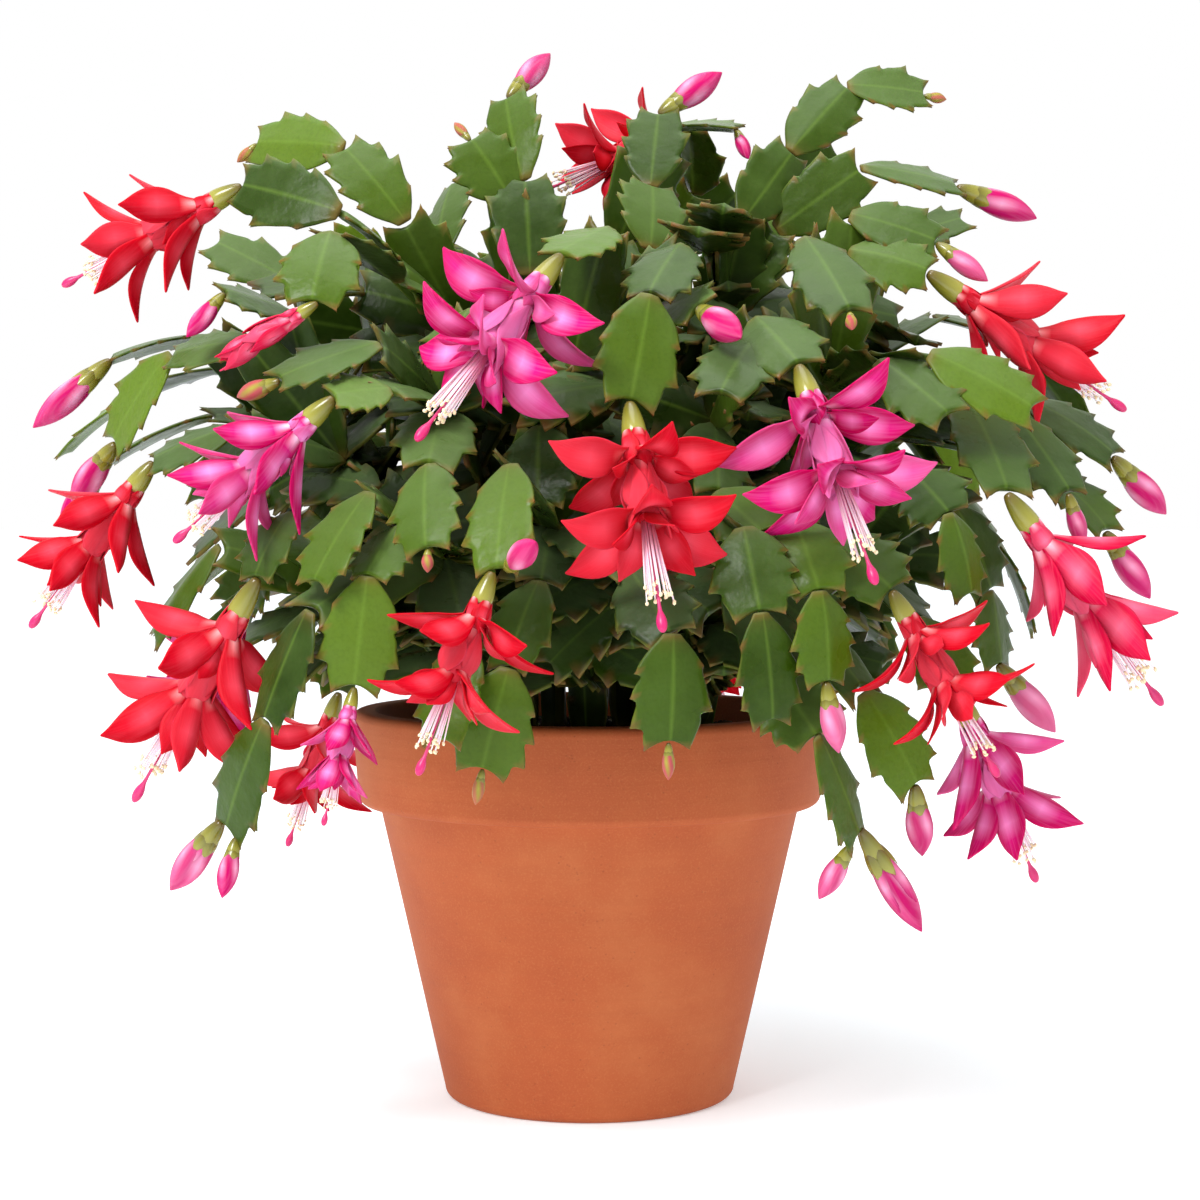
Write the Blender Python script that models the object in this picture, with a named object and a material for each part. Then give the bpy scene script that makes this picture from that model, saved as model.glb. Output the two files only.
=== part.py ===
"""Potted christmas cactus: a clay pot, its soil, rooted stems of flat jointed segments, flowers and buds.

Blender units are metres. The driving dimensions below are in millimetres and are scaled by MM.
+X is the viewer's right, +Y the back of the plant and +Z up; the pot stands on z = 0, on its own axis.
"""

import math

import bmesh
import bpy
from mathutils import Matrix, Vector

MM = 0.001
GAP = 0.3                      # clearance left between neighbouring pieces

# Clay pot
POT_HEIGHT = 133.0
POT_FOOT_RADIUS = 50.0
POT_NECK_RADIUS = 72.5         # outside, just under the rim band
RIM_BAND_HEIGHT = 32.0
RIM_LIP_RADIUS = 79.5          # outside of the band at its lower edge
RIM_TOP_RADIUS = 81.5
RIM_ROUND = 3.0
POT_WALL = 7.0
POT_FLOOR = 9.0
FOOT_ROUND = 3.0
DRAIN_RADIUS = 9.0
POT_STEPS = 32

# Soil
SOIL_EDGE_DROP = 10.0          # below the top of the rim, at the wall
SOIL_CROWN = 4.0               # how much higher the middle lies

# Flat stem segments
SEGMENT_LENGTH = 37.0
JOINT_WIDTH = 8.0
JOINT_THICKNESS = 4.4
SEGMENT_WIDTH = 25.0
SEGMENT_THICKNESS = 3.6
TIP_WIDTH = 13.0               # the cut-off looking end of a last segment
TIP_THICKNESS = 3.0
TRUNK_WIDTH = 13.0             # old woody segments at the soil
TRUNK_THICKNESS = 9.0
SEGMENT_TWIST = 14.0           # degrees, alternating from segment to segment
FACE_LIFT = 0.8                # how far the broad faces look up, against outward
FACE_SIDEWAYS = 0.5            # below 1 the faces of the side shoots turn to the front and the back
SHOULDER_AT = 0.34             # where along a segment it reaches its shoulder and its widest place
WIDEST_AT = 0.78
MIDDLE_AT = 0.62               # the one section of a plainer inner segment
SHOULDER_SHARE = 0.86          # of the full width
OLD_SEGMENTS = 3.0             # how many segments from the soil stay narrow and woody
FINE_SEGMENTS = 1              # how many outer segments of a shoot have both sections

# Short filler shoots inside the plant
FILLERS_PER_LIMB = 3
FILLER_TRIES = 40
FILLER_LENGTH = 33.0
FILLER_CLEARANCE = 18.0        # from the joints and middles of every other stem
FILLER_SPACING = 13.0          # from the same stem's own shoots
FLOWER_CLEARANCE = 24.0
POT_CLEARANCE_HEIGHT = 158.0
GOLDEN_TURN = math.pi * (3.0 - math.sqrt(5.0))

# Buds and flowers
NECK_RADIUS = 1.3
BUD_RADIUS_SHARE = 0.19        # of the bud's length
BUD_RADIUS_MAX = 5.2
BUD_SIDES = 6
TUBE_SIDES = 8
PETAL_THICKNESS = 1.1
FLOWER_LENGTH = 76.0           # of the open flower that the other sizes are scaled from
TUBE_STATIONS = (              # height and radius along the ovary, the tube and the anthers
    (0.0, NECK_RADIUS), (7.0, 4.4), (15.0, 3.2), (22.0, 4.0), (32.0, 4.4), (46.0, 5.0), (54.0, 2.4))
PETAL_WHORLS = (               # which stretch of the tube, first side, reach and width
    (2, 0, 21.0, 11.0),
    (3, 1, 28.0, 13.0),
    (4, 0, 27.0, 12.0),
)

GREEN = (0.10, 0.22, 0.06, 1.0)
RED = (0.80, 0.03, 0.05, 1.0)
MAGENTA = (0.80, 0.03, 0.30, 1.0)
CLAY = (0.48, 0.18, 0.07, 1.0)
PEAT = (0.035, 0.022, 0.015, 1.0)

# Each rooted stem: its name, where it stands on the soil (right, back), and its limbs. A limb is the
# place where the woody part ends and forks, and the shoots that leave it, each a name and the joints it
# passes, in mm (right, back, up). A shoot named in FLOWERS or BUDS carries what is listed there.
STEMS = [
    ("stem_centre_left", (-12, -4), [
        ((-42, -52, 262), [
            ("leaning", [(-58, -75, 292), (-78, -66, 316), (-108, -48, 320)]),
            ("arching", [(-76, -100, 292), (-108, -84, 302)]),
            ("nodding", [(-77, -112, 284), (-81, -128, 262)]),
        ]),
        ((-14, -34, 252), [
            ("upright", [(-19, -58, 277), (-21, -45, 309), (-27, -30, 338)]),
            ("steep", [(-26, -48, 302), (-39, -45, 322)]),
            ("tucked", [(-50, -18, 285), (-46, 4, 314)]),
        ]),
    ]),
    ("stem_centre_right", (12, -4), [
        ((18, -40, 255), [
            ("upright", [(19, -70, 284), (20, -50, 306), (23, -35, 332)]),
            ("topmost", [(8, -18, 290), (26, -12, 330), (50, -18, 329)]),
        ]),
        ((42, -44, 264), [
            ("climbing", [(49, -60, 294), (66, -45, 318), (86, -30, 341), (112, -25, 339)]),
            ("spreading", [(61, -52, 292), (88, -55, 311), (120, -46, 306)]),
            ("shaded", [(62, -22, 300), (84, -12, 322)]),
        ]),
    ]),
    ("stem_front", (0, -36), [
        ((-4, -92, 246), [
            ("over_left", [(6, -106, 286), (-8, -130, 276)]),
            ("showing", [(28, -106, 281), (18, -130, 264), (12, -144, 232)]),
            ("beside", [(20, -102, 262), (33, -124, 261)]),
        ]),
        ((-12, -104, 196), [
            ("forward", [(-22, -146, 214), (-25, -166, 184)]),
            ("falling", [(-14, -130, 180), (-23, -138, 155), (-31, -134, 125)]),
            ("hanging", [(13, -139, 183), (24, -158, 166), (23, -159, 135)]),
            ("inner", [(-14, -118, 226), (-14, -130, 202)]),
        ]),
    ]),
    ("stem_front_left", (-22, -30), [
        ((-44, -92, 232), [
            ("outward", [(-62, -122, 250), (-91, -131, 239)]),
            ("middle", [(-58, -134, 236), (-74, -140, 234)]),
            ("short", [(-46, -142, 214), (-45, -160, 190)]),
            ("high", [(-36, -98, 262), (-44, -114, 246)]),
        ]),
        ((-44, -100, 188), [
            ("drooping", [(-63, -140, 206), (-78, -150, 180)]),
            ("long", [(-80, -146, 172), (-93, -144, 140), (-107, -123, 106)]),
            ("near_rim", [(-55, -138, 196), (-63, -148, 182), (-67, -148, 150)]),
            ("low", [(-36, -134, 164), (-42, -146, 134)]),
        ]),
    ]),
    ("stem_front_right", (22, -30), [
        ((38, -98, 228), [
            ("bright", [(50, -124, 252), (38, -146, 234)]),
            ("reaching", [(50, -120, 258), (61, -143, 243)]),
            ("broad", [(38, -128, 206), (55, -142, 190)]),
        ]),
        ((44, -100, 186), [
            ("hanging", [(45, -146, 196), (49, -158, 172), (52, -157, 141)]),
            ("paired", [(60, -142, 198), (66, -154, 178), (68, -154, 152)]),
            ("outer", [(72, -136, 192), (88, -145, 178)]),
            ("lowest", [(55, -138, 152), (66, -148, 136), (79, -133, 105)]),
            ("low", [(82, -124, 147), (98, -121, 119)]),
        ]),
    ]),
    ("stem_left", (-33, -16), [
        ((-78, -72, 218), [
            ("drooping", [(-104, -90, 252), (-130, -82, 249), (-150, -70, 222)]),
            ("low", [(-108, -98, 226), (-134, -96, 216)]),
            ("rising", [(-92, -84, 262), (-112, -96, 268)]),
        ]),
        ((-76, -74, 176), [
            ("falling", [(-113, -100, 190), (-134, -94, 162)]),
            ("forward", [(-88, -122, 200), (-97, -132, 181)]),
            ("behind", [(-98, -92, 190), (-106, -86, 172)]),
        ]),
    ]),
    ("stem_far_left", (-38, 4), [
        ((-88, -16, 226), [
            ("outward", [(-124, -34, 258), (-156, -48, 250)]),
            ("dropping", [(-126, -30, 232), (-158, -46, 216)]),
            ("side", [(-122, 0, 250), (-155, 12, 242), (-185, 22, 221)]),
            ("raised", [(-98, -14, 276), (-128, -8, 292)]),
        ]),
        ((-84, 6, 180), [
            ("low", [(-118, -22, 186), (-142, -34, 162)]),
            ("lower", [(-116, 20, 176), (-138, 30, 148)]),
        ]),
    ]),
    ("stem_right", (33, -16), [
        ((76, -66, 240), [
            ("over", [(66, -98, 284), (77, -130, 259)]),
            ("twin", [(82, -78, 282), (106, -84, 275)]),
            ("long", [(83, -70, 294), (110, -74, 285)]),
            ("broad", [(88, -108, 246), (107, -124, 229)]),
            ("sideways", [(103, -110, 248), (134, -114, 231)]),
        ]),
        ((82, -76, 188), [
            ("hanging", [(96, -122, 212), (106, -130, 200), (112, -130, 176)]),
            ("drooping", [(112, -96, 202), (124, -90, 176), (127, -90, 153)]),
            ("low", [(100, -104, 168), (112, -112, 146)]),
        ]),
    ]),
    ("stem_far_right", (38, 4), [
        ((100, -34, 226), [
            ("forward", [(117, -84, 236), (125, -118, 206)]),
            ("middle", [(132, -84, 231), (147, -100, 206)]),
            ("outward", [(142, -52, 236), (169, -58, 218)]),
            ("falling", [(146, -52, 214), (165, -66, 194)]),
        ]),
        ((88, 4, 246), [
            ("side", [(120, 10, 268), (150, 16, 258), (172, 20, 232)]),
            ("raised", [(100, -8, 290), (128, -6, 300)]),
            ("low", [(118, -6, 216), (140, -10, 188), (150, -18, 160)]),
        ]),
    ]),
    ("stem_back_right", (26, 28), [
        ((60, 66, 246), [
            ("high", [(76, 78, 286), (104, 86, 292)]),
            ("over", [(58, 104, 272), (70, 132, 250)]),
            ("far", [(98, 90, 256), (128, 106, 240), (144, 112, 206)]),
        ]),
        ((66, 78, 190), [
            ("falling", [(92, 112, 196), (108, 130, 168), (112, 134, 134)]),
            ("side", [(112, 66, 196), (140, 66, 172)]),
            ("hanging", [(56, 122, 190), (62, 146, 160)]),
        ]),
    ]),
    ("stem_back", (0, 37), [
        ((2, 60, 262), [
            ("tall", [(18, 54, 292), (38, 48, 316), (35, 22, 336)]),
            ("over", [(8, 96, 286), (14, 128, 266)]),
            ("left", [(-24, 88, 292), (-46, 104, 286)]),
            ("right", [(34, 62, 296), (54, 58, 318)]),
        ]),
        ((-2, 94, 196), [
            ("falling", [(-6, 134, 212), (-8, 162, 190), (-6, 176, 156)]),
            ("side", [(22, 134, 192), (36, 166, 172)]),
            ("drooping", [(-30, 128, 222), (-38, 154, 200)]),
        ]),
    ]),
    ("stem_back_left", (-26, 28), [
        ((-58, 62, 246), [
            ("high", [(-70, 64, 286), (-96, 60, 300)]),
            ("over", [(-76, 96, 262), (-96, 118, 240)]),
            ("far", [(-98, 70, 250), (-128, 78, 236), (-148, 84, 204)]),
        ]),
        ((-66, 76, 188), [
            ("falling", [(-86, 112, 192), (-98, 130, 162), (-100, 132, 128)]),
            ("side", [(-110, 66, 192), (-136, 72, 166)]),
            ("hanging", [(-54, 118, 186), (-60, 144, 156)]),
        ]),
    ]),
]

# Flowers: name, the shoot that carries it, where on the shoot's end it sits (-1 to 1 across the end), the
# tip of its style (right, back, up), how far it has opened (0 to 1), its colour and its roll in degrees.
FLOWERS = [
    ("flower_left_top", "stem_centre_left.arching", 0.0, (-166, -72, 272), 0.55, RED, 0),
    ("flower_left_half_open", "stem_centre_left.nodding", -0.4, (-114, -120, 242), 0.05, RED, 20),
    ("flower_front_large", "stem_front.over_left", 0.0, (-48, -164, 221), 1.0, MAGENTA, 0),
    ("flower_left_middle", "stem_front_left.middle", 0.0, (-122, -128, 192), 0.6, MAGENTA, -10),
    ("flower_far_left", "stem_left.low", 0.0, (-173, -90, 165), 0.6, RED, 10),
    ("flower_left_low", "stem_left.forward", 0.0, (-138, -108, 113), 0.75, RED, 15),
    ("flower_left_behind", "stem_left.behind", 0.0, (-131, -68, 124), 0.6, MAGENTA, -20),
    ("flower_left_small", "stem_front_left.near_rim", 0.0, (-75, -158, 112), 0.5, MAGENTA, 0),
    ("flower_front_low", "stem_front.forward", 0.4, (-47, -174, 128), 0.8, RED, 0),
    ("flower_front_red", "stem_front.showing", 0.0, (21, -178, 168), 0.94, RED, 0),
    ("flower_right_magenta", "stem_front_right.reaching", 0.0, (80, -174, 181), 0.9, MAGENTA, 0),
    ("flower_right_top", "stem_right.twin", 0.0, (171, -66, 233), 0.6, RED, 0),
    ("flower_far_right", "stem_far_right.forward", 0.0, (175, -104, 142), 0.55, RED, 0),
    ("flower_right_low", "stem_front_right.outer", 0.0, (118, -150, 125), 0.85, RED, 0),
    ("flower_right_behind", "stem_right.low", 0.0, (138, -98, 87), 0.6, MAGENTA, 0),
    ("flower_top", "stem_back.tall", 0.0, (-17, -8, 309), 0.8, RED, 0),
    ("flower_back_left", "stem_back.left", 0.0, (-84, 132, 238), 0.7, MAGENTA, 0),
    ("flower_back_low", "stem_back_left.falling", 0.0, (-122, 142, 66), 0.85, RED, 0),
    ("flower_back_right", "stem_back_right.over", 0.0, (104, 158, 202), 0.9, MAGENTA, 0),
    ("flower_back_far", "stem_back.side", 0.0, (58, 166, 106), 0.7, RED, 0),
]

# Buds: name, the shoot that carries it, where on the shoot's end it sits, and its tip (right, back, up).
BUDS = [
    ("bud_top_left", "stem_centre_left.upright", 0.0, (-13, -20, 354)),
    ("bud_top_dark", "stem_centre_left.steep", 0.0, (-44, -40, 328)),
    ("bud_top_middle", "stem_centre_right.upright", 0.0, (44, -30, 346)),
    ("bud_top_hanging", "stem_centre_right.topmost", 0.0, (53, -26, 318)),
    ("bud_right_long", "stem_centre_right.spreading", 0.0, (147, -38, 297)),
    ("bud_right_second", "stem_right.long", 0.0, (125, -78, 273)),
    ("bud_middle", "stem_front.beside", 0.0, (44, -146, 251)),
    ("bud_left_hanging", "stem_left.rising", 0.0, (-122, -102, 254)),
    ("bud_left_long", "stem_far_left.outward", 0.0, (-180, -52, 228)),
    ("bud_left_drooping", "stem_left.drooping", 0.0, (-166, -60, 204)),
    ("bud_left_hidden", "stem_far_left.dropping", 0.0, (-172, -50, 196)),
    ("bud_left_green", "stem_front_left.outward", 0.0, (-104, -122, 235)),
    ("bud_front_pink", "stem_front.forward", -0.6, (-14, -185, 193)),
    ("bud_front_left_green", "stem_front.falling", 0.0, (-33, -133, 115)),
    ("bud_front_green", "stem_front.hanging", 0.0, (23, -158, 125)),
    ("bud_right_hanging", "stem_front_right.paired", 0.0, (72, -151, 132)),
    ("bud_low_right_first", "stem_front_right.lowest", 0.9, (68, -132, 87)),
    ("bud_low_right_second", "stem_front_right.lowest", -0.9, (101, -112, 74)),
    ("bud_low_right_third", "stem_front_right.low", 0.0, (101, -112, 97)),
    ("bud_far_right", "stem_far_right.outward", 0.0, (188, -48, 200)),
    ("bud_far_right_second", "stem_far_right.middle", 0.0, (152, -96, 190)),
    ("bud_far_right_third", "stem_far_right.falling", 0.0, (180, -62, 173)),
    ("bud_right_side", "stem_right.drooping", 0.0, (146, -84, 132)),
    ("bud_low_left_first", "stem_front_left.long", 0.9, (-127, -108, 86)),
    ("bud_low_left_second", "stem_front_left.long", -0.9, (-108, -130, 87)),
]


def clear_scene():
    """Removes whatever the opened file holds."""
    for old in list(bpy.data.objects):
        bpy.data.objects.remove(old, do_unlink=True)


def finish(name, colour, roughness):
    """A plain material with this part's colour and roughness."""
    material = bpy.data.materials.new(name)
    material.use_nodes = True
    shader = material.node_tree.nodes["Principled BSDF"]
    shader.inputs["Base Color"].default_value = colour
    shader.inputs["Roughness"].default_value = roughness
    shader.inputs["Metallic"].default_value = 0.0
    return material


def add_object(name, mesh, material):
    """Links a mesh into the scene under its node's name."""
    mesh.materials.clear()
    mesh.materials.append(material)
    made = bpy.data.objects.new(name, mesh)
    bpy.context.scene.collection.objects.link(made)
    return made


def loft(rings, closed_tip=None):
    """A closed mesh through rings of equal point counts, capped flat or drawn to a point."""
    bm = bmesh.new()
    rows = [[bm.verts.new(point * MM) for point in ring] for ring in rings]
    count = len(rows[0])
    for low, high in zip(rows, rows[1:]):
        for i in range(count):
            j = (i + 1) % count
            bm.faces.new((low[i], low[j], high[j], high[i]))
    bm.faces.new(list(reversed(rows[0])))
    if closed_tip is None:
        bm.faces.new(rows[-1])
    else:
        tip = bm.verts.new(closed_tip * MM)
        for i in range(count):
            bm.faces.new((rows[-1][i], rows[-1][(i + 1) % count], tip))
    bmesh.ops.triangulate(bm, faces=bm.faces)
    bmesh.ops.recalc_face_normals(bm, faces=bm.faces)
    mesh = bpy.data.meshes.new("loft")
    bm.to_mesh(mesh)
    bm.free()
    return mesh


def united(name, meshes):
    """One closed mesh from several that overlap."""
    helpers = bpy.data.collections.new(name + "_parts")
    for mesh in meshes[1:]:
        helper = bpy.data.objects.new(name + "_part", mesh)
        helpers.objects.link(helper)
    body = bpy.data.objects.new(name + "_body", meshes[0])
    bpy.context.scene.collection.children.link(helpers)
    bpy.context.scene.collection.objects.link(body)
    union = body.modifiers.new("union", "BOOLEAN")
    union.operation = "UNION"
    union.solver = "EXACT"
    union.operand_type = "COLLECTION"
    union.collection = helpers
    depsgraph = bpy.context.evaluated_depsgraph_get()
    mesh = bpy.data.meshes.new_from_object(body.evaluated_get(depsgraph))
    mesh.name = name
    for helper in list(helpers.objects):
        bpy.data.objects.remove(helper, do_unlink=True)
    bpy.data.objects.remove(body, do_unlink=True)
    bpy.data.collections.remove(helpers)
    return mesh


def turned(outline, steps):
    """A closed solid of revolution about Z from an outline of (radius, height) points in mm."""
    bm = bmesh.new()
    points = [bm.verts.new(Vector((radius, 0.0, height)) * MM) for radius, height in outline]
    edges = [bm.edges.new((a, b)) for a, b in zip(points, points[1:] + points[:1])]
    bmesh.ops.spin(bm, geom=points + edges, cent=(0, 0, 0), axis=(0, 0, 1), angle=math.tau,
                   steps=steps, use_merge=True, use_duplicate=False)
    bmesh.ops.remove_doubles(bm, verts=bm.verts, dist=1e-6)
    bmesh.ops.recalc_face_normals(bm, faces=bm.faces)
    mesh = bpy.data.meshes.new("turned")
    bm.to_mesh(mesh)
    bm.free()
    return mesh


def arc(centre, radius, start, end, points):
    """Points of a rounded corner, angles in degrees."""
    angles = [math.radians(start + (end - start) * i / (points - 1)) for i in range(points)]
    return [(centre[0] + radius * math.cos(a), centre[1] + radius * math.sin(a)) for a in angles]


def pot_inner_radius(height):
    """Radius of the pot's inner wall, which tapers like the outside."""
    share = height / (POT_HEIGHT - RIM_BAND_HEIGHT)
    return POT_FOOT_RADIUS + (POT_NECK_RADIUS - POT_FOOT_RADIUS) * share - POT_WALL


def build_pot():
    band_foot = POT_HEIGHT - RIM_BAND_HEIGHT
    outline = [(DRAIN_RADIUS, 0.0)]
    outline += arc((POT_FOOT_RADIUS - FOOT_ROUND, FOOT_ROUND), FOOT_ROUND, -90, 0, 4)
    outline.append((POT_NECK_RADIUS, band_foot))
    outline += arc((RIM_LIP_RADIUS - RIM_ROUND, band_foot + RIM_ROUND), RIM_ROUND, -90, 0, 4)
    outline += arc((RIM_TOP_RADIUS - RIM_ROUND, POT_HEIGHT - RIM_ROUND), RIM_ROUND, 0, 90, 4)
    outline.append((pot_inner_radius(POT_HEIGHT) + 1.5, POT_HEIGHT))
    outline.append((pot_inner_radius(POT_HEIGHT), POT_HEIGHT - 1.5))
    outline.append((pot_inner_radius(POT_FLOOR), POT_FLOOR))
    outline.append((DRAIN_RADIUS, POT_FLOOR))
    mesh = turned(outline, POT_STEPS)
    mesh.shade_smooth()
    mesh.set_sharp_from_angle(angle=math.radians(35))
    return add_object("pot", mesh, finish("terracotta", CLAY, 0.85))


def soil_surface(radius):
    """Height of the soil at this distance from the pot's axis, over a low crown."""
    edge = POT_HEIGHT - SOIL_EDGE_DROP
    share = radius / pot_inner_radius(edge)
    return edge + SOIL_CROWN * (1.0 - share * share)


def build_soil():
    edge = POT_HEIGHT - SOIL_EDGE_DROP
    floor = POT_FLOOR + GAP
    rim = pot_inner_radius(edge) - GAP
    outline = [(0.0, floor), (pot_inner_radius(floor) - GAP, floor), (rim, soil_surface(rim))]
    outline += [(rim * share, soil_surface(rim * share)) for share in (0.75, 0.5, 0.25, 0.0)]
    mesh = turned(outline, POT_STEPS)
    mesh.shade_smooth()
    mesh.set_sharp_from_angle(angle=math.radians(35))
    return add_object("soil", mesh, finish("potting_soil", PEAT, 1.0))


def bezier(start, control, end, share):
    return start * (1 - share) ** 2 + control * (2 * share * (1 - share)) + end * share ** 2


def limb_joints(foot, fork):
    """Joints of the woody part, from the soil up and out to where it forks."""
    start = Vector((foot[0], foot[1], soil_surface(math.hypot(*foot)) + GAP))
    end = Vector(fork)
    rise = Vector((start.x * 1.1, start.y * 1.1, start.z + (end.z - start.z) * 0.62))
    count = max(3, round((end - start).length / SEGMENT_LENGTH) + 1)
    return [bezier(start, rise, end, i / count) for i in range(count + 1)]


def shoot_joints(fork, joints):
    """Joints of a shoot, with the stretch from the fork to its first given joint shared out."""
    first = Vector(joints[0])
    start = Vector(fork)
    count = max(1, round((first - start).length / (SEGMENT_LENGTH * 1.15)))
    shared = [start.lerp(first, i / count) for i in range(count)]
    return shared + [Vector(joint) for joint in joints]


def facing(low, high, step):
    """The direction that a flat segment's broad face looks: outward, a little up, twisted step by step."""
    turn = SEGMENT_TWIST if step % 2 else -SEGMENT_TWIST
    along = (high - low).normalized()
    middle = (low + high) / 2
    outward = Vector((middle.x * FACE_SIDEWAYS, middle.y, 0.0)).normalized() + Vector((0.0, 0.0, FACE_LIFT))
    face = outward - along * outward.dot(along)
    face.normalize()
    return Matrix.Rotation(math.radians(turn), 3, along) @ face


def ring(centre, along, face, width, thickness):
    """Four corners of a flat section, two at its margins and two on its midrib."""
    across = along.cross(face).normalized()
    face = across.cross(along).normalized()
    return [centre + across * (width / 2), centre + face * (thickness / 2),
            centre - across * (width / 2), centre - face * (thickness / 2)]


def segment_rings(low, high, face, age, fine):
    """The sections across one flat segment between its joints; an old one is narrow and thick."""
    along = (high - low).normalized()
    width = SEGMENT_WIDTH + (TRUNK_WIDTH - SEGMENT_WIDTH) * age
    thickness = SEGMENT_THICKNESS + (TRUNK_THICKNESS - SEGMENT_THICKNESS) * age
    places = ((SHOULDER_AT, SHOULDER_SHARE), (WIDEST_AT, 1.0)) if fine else ((MIDDLE_AT, 1.0),)
    return [ring(low.lerp(high, place), along, face, width * share, thickness) for place, share in places]


def chain_mesh(joints, kind):
    """A closed chain of flat segments through the joints. The kinds are limb, shoot and filler."""
    pairs = list(zip(joints, joints[1:]))
    alongs = [(high - low).normalized() for low, high in pairs]
    faces = [facing(low, high, i) for i, (low, high) in enumerate(pairs)]
    if kind == "limb":
        rings = [ring(joints[0], Vector((0.0, 0.0, 1.0)), faces[0], TRUNK_WIDTH, TRUNK_THICKNESS)]
    else:
        rings = [ring(joints[0] - alongs[0], alongs[0], faces[0], JOINT_WIDTH * 0.8, JOINT_THICKNESS * 0.8)]
    for i, (low, high) in enumerate(pairs):
        age = max(0.0, 1.0 - i / OLD_SEGMENTS) if kind == "limb" else 0.0
        rings += segment_rings(low, high, faces[i], age, kind == "shoot" and i >= len(pairs) - FINE_SEGMENTS)
        if i + 1 < len(pairs):
            width = JOINT_WIDTH + (TRUNK_WIDTH - JOINT_WIDTH) * age * 0.6
            thickness = JOINT_THICKNESS + (TRUNK_THICKNESS - JOINT_THICKNESS) * age * 0.6
            rings.append(ring(high, alongs[i] + alongs[i + 1], faces[i] + faces[i + 1], width, thickness))
        elif kind == "limb":
            rings.append(ring(high, alongs[i], faces[i], JOINT_WIDTH, JOINT_THICKNESS))
        else:
            rings.append(ring(high, alongs[i], faces[i], TIP_WIDTH, TIP_THICKNESS))
    return loft(rings)


def listed_paths():
    """Every limb and listed shoot as (stem, shoot or None, joints)."""
    paths = []
    for stem, foot, limbs in STEMS:
        for fork, shoots in limbs:
            paths.append((stem, None, limb_joints(foot, fork)))
            for shoot, joints in shoots:
                paths.append((stem, shoot, shoot_joints(fork, joints)))
    return paths


def taken_places(paths):
    """Points that filler shoots keep away from, each with the stem it belongs to."""
    places = []
    for stem, _, joints in paths:
        for low, high in zip(joints, joints[1:]):
            places += [(stem, low.lerp(high, 0.5)), (stem, low.lerp(high, 0.8)), (stem, high)]
    for _, shoot, _, tip, *_ in FLOWERS:
        stem, name = shoot.split(".")
        end = next(joints[-1] for owner, label, joints in paths if (owner, label) == (stem, name))
        places += [("flower", end.lerp(Vector(tip), share)) for share in (0.25, 0.5, 0.75)]
    return places


def filler_is_clear(stem, joints, places):
    """True where a filler shoot stays clear of the pot, the flowers and what has grown already."""
    for low, high in zip(joints, joints[1:]):
        for point in (low.lerp(high, 0.5), low.lerp(high, 0.8), high):
            if point.z < POT_CLEARANCE_HEIGHT:
                return False
            for owner, place in places:
                room = FLOWER_CLEARANCE if owner == "flower" else FILLER_CLEARANCE
                room = FILLER_SPACING if owner == stem else room
                if (point - place).length < room and (place - joints[0]).length > 1.0:
                    return False
    return True


def filler_paths(paths):
    """Short two-segment shoots that leave each limb near its fork, turned by the golden angle."""
    places = taken_places(paths)
    fillers = []
    for stem, foot, limbs in STEMS:
        for fork, _ in limbs:
            limb = limb_joints(foot, fork)
            kept = 0
            for step in range(FILLER_TRIES):
                start = limb[-1 - step % 3]
                rise = 0.75 - 1.1 * (step % 7) / 6.0
                turn = step * GOLDEN_TURN
                heading = Vector((math.cos(turn), math.sin(turn), rise)).normalized()
                outward = Vector((start.x, start.y, 0.0)).normalized()
                first = start + (heading + outward * 0.5).normalized() * FILLER_LENGTH
                second = first + (heading + outward * 0.8 - Vector((0.0, 0.0, 0.4))).normalized() * FILLER_LENGTH
                joints = [start, first, second]
                if kept < FILLERS_PER_LIMB and filler_is_clear(stem, joints, places):
                    fillers.append((stem, joints))
                    places += [(stem, first.lerp(second, 0.5)), (stem, start.lerp(first, 0.6)), (stem, second)]
                    kept += 1
    return fillers


def build_stems():
    """Builds every rooted stem and returns where and how each shoot ends."""
    material = finish("stem_segment", GREEN, 0.45)
    paths = listed_paths()
    fillers = filler_paths(paths)
    ends = {}
    for name, _, _ in STEMS:
        chains = []
        for stem, shoot, joints in paths:
            if stem == name:
                chains.append(chain_mesh(joints, "shoot" if shoot else "limb"))
                ends[f"{stem}.{shoot}"] = (joints[-2], joints[-1], len(joints) - 2)
        chains += [chain_mesh(joints, "filler") for stem, joints in fillers if stem == name]
        add_object(name, united(name, chains), material)
    return ends


def seat(ends, shoot, across, tip):
    """Where a flower or bud starts at a shoot's end, and the direction to its tip."""
    low, high, step = ends[shoot]
    along = (high - low).normalized()
    face = facing(low, high, step)
    start = high + along.cross(face).normalized() * (across * TIP_WIDTH * 0.32)
    aim = (Vector(tip) - start).normalized()
    tilt = math.sqrt(max(0.0, 1.0 - aim.dot(along) ** 2))
    return start + along * (GAP + NECK_RADIUS * tilt)


def circle(radius, sides, height):
    """Points of a level circle about a piece's own axis."""
    turns = [math.tau * i / sides for i in range(sides)]
    return [Vector((radius * math.cos(turn), radius * math.sin(turn), height)) for turn in turns]


def aimed(start, tip, roll):
    """A matrix that lays a piece's own +Z from start to tip, its own -Y side turned up."""
    along = (tip - start).normalized()
    up = Vector((0.0, 0.0, 1.0))
    side = along.cross(up)
    if side.length < 0.05:
        side = along.cross(Vector((0.0, -1.0, 0.0)))
    side.normalize()
    top = side.cross(along)
    basis = Matrix((side, -top, along)).transposed() @ Matrix.Rotation(math.radians(roll), 3, "Z")
    return Matrix.Translation(start * MM) @ basis.to_4x4()


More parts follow.
